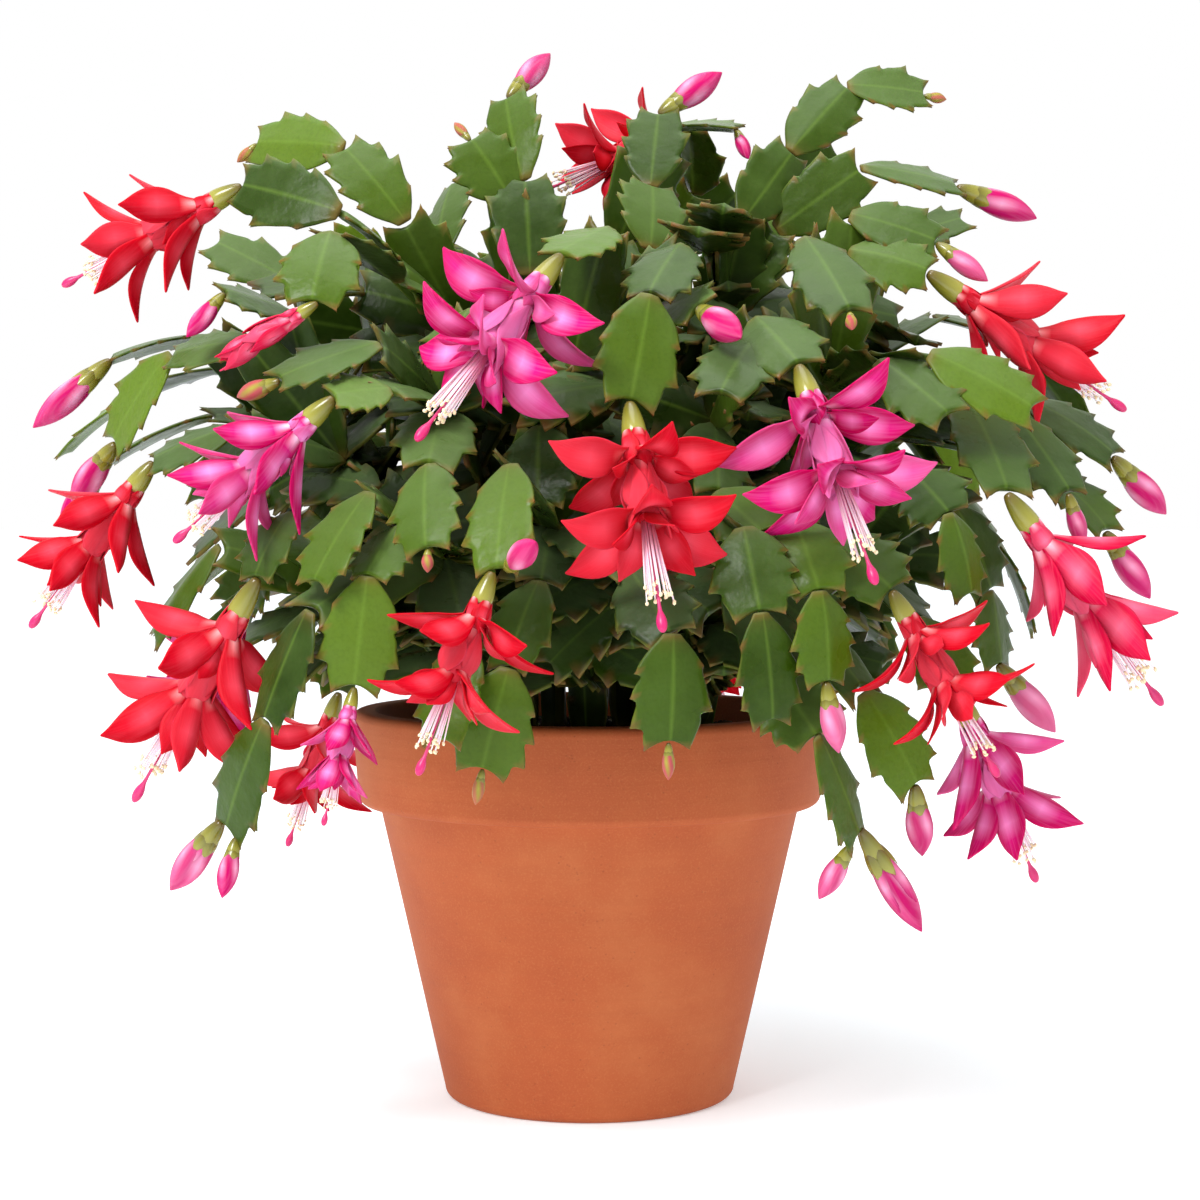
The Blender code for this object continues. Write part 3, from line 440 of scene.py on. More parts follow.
def filler_paths(paths):
    """Short two-segment shoots that leave each limb near its fork, turned by the golden angle."""
    places = taken_places(paths)
    fillers = []
    for stem, limb in forked_limbs():
        kept = 0
        for step in range(FILLER_TRIES):
            start = limb[-1 - step % 3]
            rise = 0.75 - 1.1 * (step % 7) / 6.0
            turn = step * GOLDEN_TURN
            heading = Vector((math.cos(turn), math.sin(turn), rise)).normalized()
            outward = Vector((start.x, start.y, 0.0)).normalized()
            first = start + (heading + outward * 0.5).normalized() * FILLER_LENGTH
            second = first + (heading + outward * 0.8 - UP * 0.4).normalized() * FILLER_LENGTH
            joints = [start, first, second]
            if kept < FILLERS_PER_LIMB and filler_is_clear(stem, joints, places):
                fillers.append((stem, joints))
                grown = (first.lerp(second, 0.5), start.lerp(first, 0.6), second)
                places += [(stem, place) for place in grown]
                kept += 1
    return fillers


# ---- Working by hand: a shape is modelled once, then copied into the pieces 

def deselect():
    if bpy.context.object and bpy.context.object.mode != "OBJECT":
        bpy.ops.object.mode_set(mode="OBJECT")
    bpy.ops.object.select_all(action="DESELECT")


def choose(piece, test):
    """Selects, in edit mode, the corners whose place passes the test."""
    mesh = bmesh.from_edit_mesh(piece.data)
    for corner in mesh.verts:
        corner.select = bool(test(corner.co))
    mesh.select_flush_mode()
    bmesh.update_edit_mesh(piece.data)


def move(x=0.0, y=0.0, z=0.0):
    bpy.ops.transform.translate(value=(x, y, z))


def widen(x=1.0, y=1.0, z=1.0, about=(0.0, 0.0, 0.0)):
    bpy.ops.transform.resize(value=(x, y, z), center_override=about)


def near(value, place, within=1e-3):
    return abs(value - place) < within


def with_modifier(piece, kind, **settings):
    """Adds a modifier, sets it and applies it."""
    bpy.ops.object.mode_set(mode="OBJECT")
    modifier = piece.modifiers.new(kind.lower(), kind)
    for name, value in settings.items():
        setattr(modifier, name, value)
    bpy.ops.object.modifier_apply(modifier=modifier.name)


def facing_out(smooth=False):
    """Turns every face of the edited shape outwards, and smooths it where that is asked for."""
    bpy.ops.mesh.select_all(action="SELECT")
    bpy.ops.mesh.normals_make_consistent(inside=False)
    bpy.ops.object.mode_set(mode="OBJECT")
    if smooth:
        with_modifier(bpy.context.object, "SUBSURF", levels=1, render_levels=1)


def handed_over(piece, node):
    """Lets a piece ride on the plant in place of its plain solid."""
    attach(piece, "root")
    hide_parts(node)


class Shape:
    """A modelled shape taken off its object, ready to be copied: corners, faces and three paint values."""

    def __init__(self, piece, paint):
        deselect()
        mesh = piece.data
        self.corners = np.array([corner.co for corner in mesh.vertices])
        self.faces = [list(face.vertices) for face in mesh.polygons]
        self.paint = np.array([paint(corner.co) for corner in mesh.vertices])
        bpy.data.objects.remove(piece, do_unlink=True)


class Cluster:
    """Gathers copies of shapes into one piece with its own mesh."""

    def __init__(self):
        self.corners = []
        self.faces = []
        self.paint = []
        self.finishes = []
        self.count = 0

    def add(self, shape, matrix, finish=0, tone=0.5, corners=None):
        """One copy laid by a matrix, bent first where its own corners are given; tone tells copies apart."""
        corners = placed(shape.corners if corners is None else corners, matrix)
        self.corners.append(corners)
        self.faces += [[corner + self.count for corner in face] for face in shape.faces]
        self.paint.append(np.column_stack((shape.paint, np.full(len(corners), tone))))
        self.finishes += [finish] * len(shape.faces)
        self.count += len(corners)

    def piece(self, name, finishes, slot, node):
        """Makes the piece and hands it over."""
        mesh = bpy.data.meshes.new(name)
        mesh.from_pydata((np.concatenate(self.corners) * MM).tolist(), [], self.faces)
        for finish in finishes:
            mesh.materials.append(finish)
        mesh.polygons.foreach_set("material_index", self.finishes)
        growth = mesh.color_attributes.new("growth", "FLOAT_COLOR", "POINT")
        growth.data.foreach_set("color", np.concatenate(self.paint).astype(np.float32).ravel())
        mesh.shade_smooth()
        made = bpy.data.objects.new(name, mesh)
        bpy.context.scene.collection.objects.link(made)
        handed_over(made, node)


def curled(corners, start, end):
    """Lays a flat shape along an arc in its own YZ plane, from one slope to another (radians)."""
    steps = np.linspace(-0.2, 1.3, 61)
    slopes = start + (end - start) * steps
    middles = (slopes[1:] + slopes[:-1]) / 2
    run = np.concatenate(([0.0], np.cumsum(np.cos(middles) * np.diff(steps))))
    lift = np.concatenate(([0.0], np.cumsum(np.sin(middles) * np.diff(steps))))
    run -= np.interp(0.0, steps, run)
    lift -= np.interp(0.0, steps, lift)
    slope = np.interp(corners[:, 1], steps, slopes)
    moved = corners.copy()
    moved[:, 1] = np.interp(corners[:, 1], steps, run) - corners[:, 2] * np.sin(slope)
    moved[:, 2] = np.interp(corners[:, 1], steps, lift) + corners[:, 2] * np.cos(slope)
    return moved


def placed(corners, matrix):
    return corners @ np.array(matrix.to_3x3()).T + np.array(matrix.translation)


# ---- Shapes of the plant -----------------------------------------

def blade(rows, columns=4):
    """A flat grid along +Y whose rows are drawn to an outline of (along, half width)."""
    deselect()
    bpy.ops.mesh.primitive_grid_add(x_subdivisions=columns, y_subdivisions=len(rows) - 1, size=1.0)
    piece = bpy.context.object
    bpy.ops.object.mode_set(mode="EDIT")
    move(y=PARKED)
    for i, (along, half_width) in enumerate(rows):
        parked = PARKED - 0.5 + i / (len(rows) - 1)
        choose(piece, lambda co: near(co.y, parked))
        widen(x=half_width * 2.0, about=(0.0, parked, 0.0))
        move(y=along - parked)
    return piece


def blade_paint(co, rows, least):
    """How far a corner lies along a blade, and how near its edge; the half width is least or more."""
    half = max(least, float(np.interp(co.y, *zip(*rows))))
    return min(1.0, max(0.0, co.y)), min(1.0, abs(co.x) / half)


def stem_segment(rows, claws, fine):
    """A flat stem segment: narrow foot, round shoulders, forward claws, blunt end with two horns."""
    piece = blade(rows)
    tips = []
    for row, side, forward, outward, step_in in claws:
        along, half_width = rows[row]
        choose(piece, lambda co: near(co.y, along) and near(co.x, side * half_width))
        move(x=side * outward, y=forward)
        tips.append(Vector((side * (half_width + outward), along + forward, 0.0)))
        if step_in:
            after, after_width = rows[row + 1]
            choose(piece, lambda co: near(co.y, after) and near(co.x, side * after_width))
            move(x=-side * step_in, y=0.012)
    end = rows[-1][0]
    choose(piece, lambda co: near(co.y, end) and near(co.x, 0.0))
    move(y=-END_NOTCH)
    with_modifier(piece, "SOLIDIFY", thickness=MARGIN_THICKNESS, offset=0.0)
    bpy.ops.object.mode_set(mode="EDIT")
    for along, half_width in rows:
        choose(piece, lambda co: near(co.y, along, 0.04) and near(abs(co.x), half_width / 2, 0.05))
        widen(z=1.04)
    choose(piece, lambda co: near(co.x, 0.0))
    widen(z=RIB_SWELL)
    facing_out()
    crease = piece.data.attributes.new("crease_vert", "FLOAT", "POINT")
    for corner, value in zip(piece.data.vertices, crease.data):
        value.value = CLAW_CREASE if any((corner.co - tip).length < 0.03 for tip in tips) else 0.0
    if fine:
        with_modifier(piece, "SUBSURF", levels=1, render_levels=1)

    def claw(co):
        return max(0.0, 1.0 - min((co - tip).length for tip in tips) / CLAW_REACH)
    return Shape(piece, lambda co: (*blade_paint(co, rows, 0.0), claw(co)))


def petal():
    """A petal: narrow foot, widest past its middle, drawn out to a small point, its margins cupped up."""
    piece = blade(PETAL_ROWS)
    for along, half_width in PETAL_ROWS:
        choose(piece, lambda co: near(co.y, along) and near(abs(co.x), half_width))
        move(z=half_width * half_width * PETAL_CUP)
        choose(piece, lambda co: near(co.y, along) and near(co.x, 0.0))
        move(z=-half_width * PETAL_FOLD)
    with_modifier(piece, "SOLIDIFY", thickness=PETAL_SKIN, offset=0.0)
    bpy.ops.object.mode_set(mode="EDIT")
    facing_out(smooth=True)
    return Shape(piece, lambda co: (*blade_paint(co, PETAL_ROWS, PETAL_SKIN), 0.5 + co.x))


def raised(stations, sides, furl=0.0, twist=0.0, smooth=True):
    """A round body pulled up from a disc through stations of (height, radius).

    Every third edge may be furled outwards, and the body may wind by a twist from station to station.
    """
    deselect()
    foot, foot_radius = stations[0]
    bpy.ops.mesh.primitive_circle_add(vertices=sides, radius=foot_radius, fill_type="NGON",
                                      location=(0.0, 0.0, foot))
    piece = bpy.context.object
    bpy.ops.object.transform_apply(location=True)
    bpy.ops.object.mode_set(mode="EDIT")
    if furl:
        choose(piece, lambda co: round(math.atan2(co.y, co.x) / (math.tau / sides)) % 3 == 0)
        widen(x=1.0 + furl, y=1.0 + furl, about=(0.0, 0.0, foot))
    bpy.ops.mesh.select_all(action="SELECT")
    for (low, below), (high, above) in zip(stations, stations[1:]):
        centre = (0.0, 0.0, high)
        bpy.ops.mesh.extrude_region_move(TRANSFORM_OT_translate={"value": (0.0, 0.0, high - low)})
        widen(x=above / below, y=above / below, about=centre)
        if twist:
            bpy.ops.transform.rotate(value=math.radians(twist), orient_axis="Z", center_override=centre)
    facing_out(smooth)
    return piece


def drawn_up(stations, sides, smooth=True):
    """A plain round part, painted along its height and round its side."""
    top = stations[-1][0]

    def paint(co):
        return min(1.0, max(0.0, co.z / top)), 0.5, 0.5 + math.atan2(co.y + SEAM, co.x) / math.tau
    return Shape(raised(stations, sides, smooth=smooth), paint)


def furled():
    """The closed petals of a bud, wound about each other up to the point."""
    def paint(co):
        turn = math.degrees(math.atan2(co.y, co.x)) + BUD_TWIST * 10.0 * co.z
        return min(1.0, max(0.0, co.z)), abs((turn / 90.0) % 1.0 - 0.5) * 2.0, 0.5 + 0.2 * co.x
    return Shape(raised(BUD_STATIONS, 12, BUD_FURL, BUD_TWIST), paint)


def anther():
    deselect()
    bpy.ops.mesh.primitive_ico_sphere_add(subdivisions=1, radius=0.62)
    piece = bpy.context.object
    bpy.ops.object.mode_set(mode="EDIT")
    widen(z=1.5)
    facing_out()
    return Shape(piece, lambda co: (1.0, 0.5, 0.5))


# ---- Stems -------------------------------------------------------

def grow_segment(cluster, shape, low, high, face, width, thickness, droop, cup, tone):
    """Copies a flat segment from joint to joint, arched over its broad face and folded along its rib."""
    along = high - low
    length = along.length
    modelled = length * MARGIN_THICKNESS * RIB_SWELL
    corners = shape.corners * np.array((width / length, 1.0, thickness / modelled))
    corners[:, 2] += cup * np.abs(corners[:, 0])
    corners = curled(corners, droop, -droop)
    corners *= length / math.sin(droop) * droop if droop else length
    along.normalize()
    across = along.cross(face).normalized()
    basis = Matrix((across, along, across.cross(along))).transposed().to_4x4()
    cluster.add(shape, Matrix.Translation(low) @ basis, 0, tone, corners)


def grow_path(cluster, shapes, joints, kind, chance):
    """Every segment of one limb, shoot or filler; the last one is a little paler, as it is younger."""
    pairs = list(zip(joints, joints[1:]))
    for i, (low, high) in enumerate(pairs):
        age = max(0.0, 1.0 - i / OLD_SEGMENTS) if kind == "limb" else 0.0
        along = (high - low).normalized()
        if age > 0.3:
            shape = shapes["woody"]
        elif kind == "filler" or kind == "limb":
            shape = chance.choice(shapes["plain"])
        else:
            shape = chance.choice(shapes["fine"])
        width = SEGMENT_WIDTH * chance.uniform(0.84, 1.04)
        width += (TRUNK_WIDTH - width) * age
        thickness = SEGMENT_THICKNESS + (TRUNK_THICKNESS - SEGMENT_THICKNESS) * age
        droop = chance.uniform(0.02, 0.22) * (1.0 - age) + 0.01
        cup = chance.uniform(-0.10, 0.16) * (1.0 - age)
        tone = chance.random() * 0.8 + (0.2 if i == len(pairs) - 1 else 0.0)
        # filler shoots have their tone cut down as painted shade inside the crown; old woody segments are
        # darker by age
        grow_segment(cluster, shape, low - along * JOINT_LAP, high, facing(low, high, i), width, thickness,
                     droop, cup, tone * (FILLER_PAINTED_SHADE if kind == "filler" else 1.0 - age))


def inner_paths(paths, fillers, chance):
    """Hidden shoots that fill the middle of the crown, each kept off the flowers and off one another."""
    places = taken_places(paths)
    for stem, joints in fillers:
        places += [(stem, low.lerp(high, 0.7)) for low, high in zip(joints, joints[1:])]
    room = {"flower": INNER_FLOWER_CLEARANCE}
    inner = []
    for stem, limb in forked_limbs():
        kept = 0
        for _ in range(INNER_TRIES):
            start = limb[-1 - chance.randrange(min(4, len(limb) - 1))]
            turn = chance.uniform(0.0, math.tau)
            heading = Vector((math.cos(turn), math.sin(turn), chance.uniform(-0.5, 0.9))).normalized()
            first = start + heading * FILLER_LENGTH
            second = first + (heading - UP * 0.5).normalized() * FILLER_LENGTH
            ends = [first.lerp(second, share) for share in (0.3, 0.7, 1.0)]
            inside = all(math.hypot(end.x, end.y) < INNER_REACH and INNER_LOW < end.z < INNER_HIGH
                         for end in ends)
            if kept < INNER_PER_LIMB and inside and all(
                    (end - place).length > room.get(owner, INNER_CLEARANCE) for end in ends
                    for owner, place in places):
                inner.append((stem, [start, first, second]))
                places += [(stem, end) for end in ends]
                kept += 1
    return inner


def build_stems(shapes, finishes):
    paths = listed_paths()
    fillers = filler_paths(paths)
    fillers += inner_paths(paths, fillers, random.Random("inner shoots"))
    skins = [finishes["stem"], finishes["young_bud"], finishes["ovary"]]
    ends = {}
    for name, _, _ in STEMS:
        chance = random.Random(name)
        cluster = Cluster()
        for stem, shoot, joints in paths:
            if stem == name:
                grow_path(cluster, shapes, joints, "shoot" if shoot else "limb", chance)
                ends[f"{stem}.{shoot}"] = (joints[-2], joints[-1], len(joints) - 2)
        for stem, joints in fillers:
            if stem == name:
                grow_path(cluster, shapes, joints, "filler", chance)
        for shoot, tip in TINY_BUDS:
            if shoot.startswith(name + "."):
                build_bud(cluster, *stance(ends, shoot, 0.0, tip), shapes, chance, 1)
        cluster.piece(name + "_segments", skins, "stem_segment", name)
    return ends


# ---- Flowers and buds --------------------------------------------

def aimed(start, tip, roll):
    """A matrix that lays a piece's own +Z from start to tip, its own -Y side turned up."""
    along = (tip - start).normalized()
    side = along.cross(UP)
    if side.length < 0.05:
        side = along.cross(Vector((0.0, -1.0, 0.0)))
    side.normalize()
    top = side.cross(along)
    basis = Matrix((side, -top, along)).transposed() @ Matrix.Rotation(math.radians(roll), 3, "Z")
    return Matrix.Translation(start) @ basis.to_4x4()


def stance(ends, shoot, across, tip, roll=0.0):
    """How a flower or bud lies, from a little inside the end of its shoot to its tip, and how long it is."""
    low, high, step = ends[shoot]
    along = (high - low).normalized()
    start = high + along.cross(facing(low, high, step)).normalized() * (across * TIP_WIDTH * 0.32)
    start -= along * NECK_SINK
    end = Vector(tip)
    return aimed(start, end, roll), (end - start).length


def set_petal(cluster, shape, matrix, root, radius, turn, length, width, slopes, wrap, finish, tone, sway=0.0,
              roll=0.0):
    """One petal leaving the tube at a height and radius, its slopes from straight out (0) to upright (90).

    Petals at the flower's sides are rolled, so that their inner faces look up towards the light.
    """
    corners = shape.corners * np.array((width / length, 1.0, 1.0))
    lean = math.radians(roll) * math.cos(turn)
    lean *= np.clip(corners[:, 1] * 3.0, 0.0, 1.0)
    corners[:, 0], corners[:, 2] = (corners[:, 0] * np.cos(lean) + corners[:, 2] * np.sin(lean),
                                    corners[:, 2] * np.cos(lean) - corners[:, 0] * np.sin(lean))
    corners[:, 2] += wrap * corners[:, 0] ** 2
    corners[:, 0] += sway * corners[:, 1] ** 2
    corners = curled(corners, math.radians(slopes[0]), math.radians(slopes[1])) * length
    tangent = Vector((math.sin(turn), -math.cos(turn), 0.0))
    outward = Vector((math.cos(turn), math.sin(turn), 0.0))
    basis = Matrix((tangent, outward, UP)).transposed().to_4x4()
    here = Matrix.Translation(outward * radius + UP * root) @ basis
    cluster.add(shape, matrix @ here, finish, tone, corners)


def build_flower(name, matrix, length, opened, shapes, finishes, colour, chance):
    cluster = Cluster()
    size = length / FLOWER_LENGTH
    spread = min(size, PETAL_SCALE_MOST)
    scaled = matrix @ Matrix.Diagonal((spread, spread, size, 1.0))
    cluster.add(shapes["ovary"], scaled, 1, chance.random())
    cluster.add(shapes["tube"], scaled, 0, 0.2)
    for root, radius, count, petal_length, width, shut, wide_open, wrap, roll in WHORLS:
        offset = chance.uniform(0.0, math.tau)
        for k in range(count):
            turn = offset + math.tau * k / count + chance.uniform(-0.18, 0.18)
            swing = 0.0 if wrap > 1.0 else PETAL_SWING
            slopes = [closed + (wide - closed) * opened + chance.uniform(-swing, swing)
                      for closed, wide in zip(shut, wide_open)]
            long = petal_length * chance.uniform(0.9, 1.08)
            broad = width * chance.uniform(0.92, 1.08)
            tone = SLEEVE_TONE if wrap > 1.0 else chance.random()
            set_petal(cluster, shapes["petal"], scaled, root, radius, turn, long, broad, slopes, wrap, 0,
                      tone, chance.uniform(-0.12, 0.12), roll * opened)
    if opened > STAMENS_SHOW:
        for k in range(FILAMENTS):
            turn = math.tau * k * GOLDEN_SHARE + chance.uniform(-0.2, 0.2)
            lean = math.radians(chance.uniform(1.0, 8.0))
            reach = chance.uniform(*FILAMENT_REACH)
            outward = Vector((math.cos(turn), math.sin(turn), 0.0))
            root = outward * 1.5 + UP * FILAMENT_ROOT
            end = root + (outward * math.sin(lean) + UP * math.cos(lean)) * reach
            stalk = aimed(root, end, 0.0) @ Matrix.Diagonal((FILAMENT_RADIUS, FILAMENT_RADIUS, reach, 1.0))
            cluster.add(shapes["stalk"], scaled @ stalk, 2, chance.random())
            knob = Matrix.Translation(end) @ Matrix.Rotation(chance.uniform(0, 6), 4, "X")
            cluster.add(shapes["anther"], scaled @ knob, 3, chance.random())
        cluster.add(shapes["style"], scaled, 4, 0.5)
    slot = "petal_red" if colour == RED else "petal_magenta"
    petals = finishes["petal_crimson" if name in CRIMSON_FLOWERS else slot]
    skins = [petals, finishes["ovary"], finishes["filament"], finishes["anther"], finishes["style"]]
    cluster.piece(name + "_bloom", skins, slot, name)


def build_bud(cluster, matrix, length, shapes, chance, first_finish=0):
    """A closed bud: its small green ovary, a few short outer scales and the furled petals."""
    radius = min(BUD_RADIUS_MAX, max(2.0, length * BUD_RADIUS_SHARE)) * BUD_SLIMMER
    ovary = matrix @ Matrix.Diagonal((radius / 6.0, radius / 6.0, length / 42.0, 1.0))
    cluster.add(shapes["ovary"], ovary, first_finish + 1, chance.random())
    turned = Matrix.Rotation(chance.uniform(0.0, math.tau), 4, "Z")
    furl = matrix @ turned @ Matrix.Diagonal((radius, radius, length, 1.0))
    cluster.add(shapes["bud"], furl, first_finish, chance.random())
    for level, (root, count, share, width, slopes) in enumerate(BUD_WHORLS):
        offset = chance.uniform(0.0, math.tau)
        for k in range(count):
            turn = offset + math.tau * k / count
            set_petal(cluster, shapes["petal"], matrix, root * length, radius * 0.5, turn, share * length,
                      width * radius / 5.0, slopes, share * length / radius / 2.0, first_finish + 1 - level,
                      chance.random())


def build_blooms(ends, shapes, finishes):
    for name, shoot, across, tip, opened, colour, roll in FLOWERS:
        build_flower(name, *stance(ends, shoot, across, tip, roll), opened, shapes, finishes, colour,
                     random.Random(name))
    for name, shoot, across, tip in BUDS:
        cluster = Cluster()
        build_bud(cluster, *stance(ends, shoot, across, tip), shapes, random.Random(name))
        petals = finishes["young_bud" if name in YOUNG_BUDS else "bud"]
        cluster.piece(name + "_scales", [petals, finishes["ovary"]], "bud_pink", name)


# ---- Pot and soil ------------------------------------------------

def arc(centre, radius, start, end, points):
    """Points of a rounded corner, angles in degrees."""
    angles = [math.radians(start + (end - start) * i / (points - 1)) for i in range(points)]
    return [(centre[0] + radius * math.cos(a), centre[1] + radius * math.sin(a)) for a in angles]


def spun(outline, steps):
    """A body turned on the wheel: its section drawn point by point, then spun round the pot's axis."""
    deselect()
    bpy.ops.mesh.primitive_plane_add(size=MM)
    piece = bpy.context.object
    bpy.ops.object.mode_set(mode="EDIT")
    first = Vector((outline[0][0], 0.0, outline[0][1])) * MM
    bpy.ops.mesh.merge(type="CENTER")
    move(*first)
    for (r0, z0), (r1, z1) in zip(outline, outline[1:]):
        step = ((r1 - r0) * MM, 0.0, (z1 - z0) * MM)
        bpy.ops.mesh.extrude_vertices_move(TRANSFORM_OT_translate={"value": step})
    bpy.ops.mesh.select_all(action="SELECT")
    if outline[0][0] > 0.0:
        bpy.ops.mesh.edge_face_add()
        bpy.ops.mesh.delete(type="ONLY_FACE")
        bpy.ops.mesh.select_all(action="SELECT")
    bpy.ops.mesh.spin(steps=steps, angle=math.tau, center=(0.0, 0.0, 0.0), axis=(0.0, 0.0, 1.0))
    bpy.ops.mesh.select_all(action="SELECT")
    bpy.ops.mesh.remove_doubles(threshold=1e-6)
    facing_out()
    return piece


def finished(piece, name, finish, node):
    piece.name = name
    piece.data.name = name
    piece.data.materials.clear()
    piece.data.materials.append(finish)
    handed_over(piece, node)


def build_pot(finish):
    band_foot = POT_HEIGHT - RIM_BAND_HEIGHT
    outline = [(DRAIN_RADIUS, 0.0)]
    outline += arc((POT_FOOT_RADIUS - FOOT_ROUND, FOOT_ROUND), FOOT_ROUND, -90, 0, 7)
    outline += [(POT_NECK_RADIUS - 0.6, band_foot - 1.6), (POT_NECK_RADIUS + 0.4, band_foot - 0.3)]
    outline += arc((RIM_LIP_RADIUS - RIM_ROUND, band_foot + RIM_ROUND), RIM_ROUND, -90, 0, 8)
    outline += arc((RIM_TOP_RADIUS - RIM_ROUND, POT_HEIGHT - RIM_ROUND), RIM_ROUND, 0, 90, 8)
    inner = pot_inner_radius(POT_HEIGHT)
    outline += arc((inner + 1.5, POT_HEIGHT - 1.5), 1.5, 90, 180, 4)
    outline += [(pot_inner_radius(POT_FLOOR + 3.0), POT_FLOOR + 3.0)]
    outline += [(pot_inner_radius(POT_FLOOR) - 2.0, POT_FLOOR)]
    outline.append((DRAIN_RADIUS, POT_FLOOR))
    piece = spun(outline, 128)
    bpy.ops.object.shade_smooth_by_angle(angle=math.radians(40))
    finished(piece, "pot_clay", finish, "pot")


def build_soil(finish, crumb_finish):
    edge = POT_HEIGHT - SOIL_EDGE_DROP
    rim = pot_inner_radius(edge) - GAP
    floor = POT_FLOOR + GAP
    rings = 26
    outline = [(0.0, floor), (pot_inner_radius(floor) - 2.5, floor)]
    outline += [(rim * (rings - i) / rings, soil_surface(rim * (rings - i) / rings)) for i in range(rings)]
    outline.append((0.0, soil_surface(0.0)))
    piece = spun(outline, 120)
    for corner in piece.data.vertices:
        radius = math.hypot(corner.co.x, corner.co.y) / MM
        if corner.co.z > (edge - 1.0) * MM and radius < rim - 1.0:
            place = corner.co / MM
            bump = noise.fractal(place * 0.16, 0.8, 2.0, 5) * 1.5
            bump += noise.fractal(place * 0.6, 0.9, 2.0, 3) * 0.5
            corner.co.z += bump * MM
    bpy.ops.object.shade_smooth()
    finished(piece, "soil_bed", finish, "soil")
    bpy.ops.object.select_all(action="DESELECT")
    bpy.ops.mesh.primitive_ico_sphere_add(subdivisions=1, radius=1.0)
    crumb = bpy.context.object
    bpy.ops.object.mode_set(mode="EDIT")
    choose(crumb, lambda co: co.x > 0.3)
    move(x=0.35, y=0.15)
    facing_out()
    shape = Shape(crumb, lambda co: (0.5, 0.5, 0.5))
    cluster = Cluster()
    chance = random.Random("crumbs")
    for _ in range(CRUMBS):
        radius = rim * math.sqrt(chance.random()) * 0.97
        turn = chance.uniform(0.0, math.tau)
        size = chance.uniform(0.5, 1.7)
        place = Vector((radius * math.cos(turn), radius * math.sin(turn), soil_surface(radius) + size * 0.2))
        turned = Matrix.Rotation(chance.uniform(0, 6), 4, "Z") @ Matrix.Rotation(chance.uniform(0, 6), 4, "X")
        long, high = chance.uniform(0.8, 1.9), chance.uniform(0.5, 1.0)
        shaped = Matrix.Diagonal((size * long, size, size * high, 1.0))
        cluster.add(shape, Matrix.Translation(place) @ turned @ shaped, 0, chance.random())
    cluster.piece("soil_crumbs", [crumb_finish], "potting_soil", "soil")


# ---- Finishes ----------------------------------------------------

def tint(code):
    """A linear colour from an sRGB hex value."""
    parts = [int(code[i:i + 2], 16) / 255.0 for i in (1, 3, 5)]
    return (*(part / 12.92 if part <= 0.04045 else ((part + 0.055) / 1.055) ** 2.4 for part in parts), 1.0)


def feed(node, values):
    """Fills a node's inputs: another node's output is linked, anything else is a plain value."""
    for name, value in values.items():
        if isinstance(value, bpy.types.NodeSocket):
            node.id_data.links.new(value, node.inputs[name])
        else:
            node.inputs[name].default_value = value


def put(tree, kind, links=None, **settings):
    """Adds a node: settings are its properties, or the stops of a ramp; links are its inputs."""
    made = tree.nodes.new("ShaderNode" + kind)
    for name, value in settings.items():
        if name == "stops":
            while len(made.color_ramp.elements) < len(value):
                made.color_ramp.elements.new(0.5)
            for element, (place, colour) in zip(made.color_ramp.elements, value):
                element.position = place
                element.color = colour
        else:
            setattr(made, name, value)
    feed(made, links or {})
    return made


def surface(name):
    """A new material with its tree and its shader."""
    material = bpy.data.materials.new(name)
    material.use_nodes = True
    return material, material.node_tree, material.node_tree.nodes["Principled BSDF"]


def growth_paint(tree):
    """The values painted on a piece: along, edge, third, and the tone of the copy."""
    paint = put(tree, "Attribute", attribute_name="growth")
    split = put(tree, "SeparateColor", {"Color": paint.outputs["Color"]})
    return split.outputs["Red"], split.outputs["Green"], split.outputs["Blue"], paint.outputs["Alpha"]


def speckle(tree, place, scale, detail, roughness=0.5):
    links = {"Vector": place, "Scale": scale, "Detail": detail, "Roughness": roughness}
    return put(tree, "TexNoise", links).outputs["Fac"]


def ranged(tree, value, low, high, start, end):
    """A value between low and high carried over to between start and end."""
    links = {"Value": value, "From Min": low, "From Max": high, "To Min": start, "To Max": end}
    return put(tree, "MapRange", links).outputs["Result"]


def ramp(tree, value, *stops):
    """A colour read off a run of stops, each a place and a hex value."""
    stops = [(place, tint(code)) for place, code in stops]
    return put(tree, "ValToRGB", {"Fac": value}, stops=stops).outputs["Color"]


def over(tree, colour, share, code):
    """A colour with another laid over it by a share."""
    return put(tree, "Mix", {0: share, 6: colour, 7: tint(code)}, data_type="RGBA").outputs[2]


def layers(tree, colour, *rows):
    """Lays colours over a colour: each row a value, its range, the shares at the ends, and a hex value."""
    for value, low, high, start, end, code in rows:
        colour = over(tree, colour, ranged(tree, value, low, high, start, end), code)
    return colour


def worked(tree, operation, first, second):
    return put(tree, "Math", {0: first, 1: second}, operation=operation).outputs["Value"]


def bumps(tree, height, strength, distance, under=None):
    """Fine relief from a height, on top of other relief where that is given."""
    links = {"Height": height, "Strength": strength, "Distance": distance}
    if under:
        links["Normal"] = under
    return put(tree, "Bump", links).outputs["Normal"]


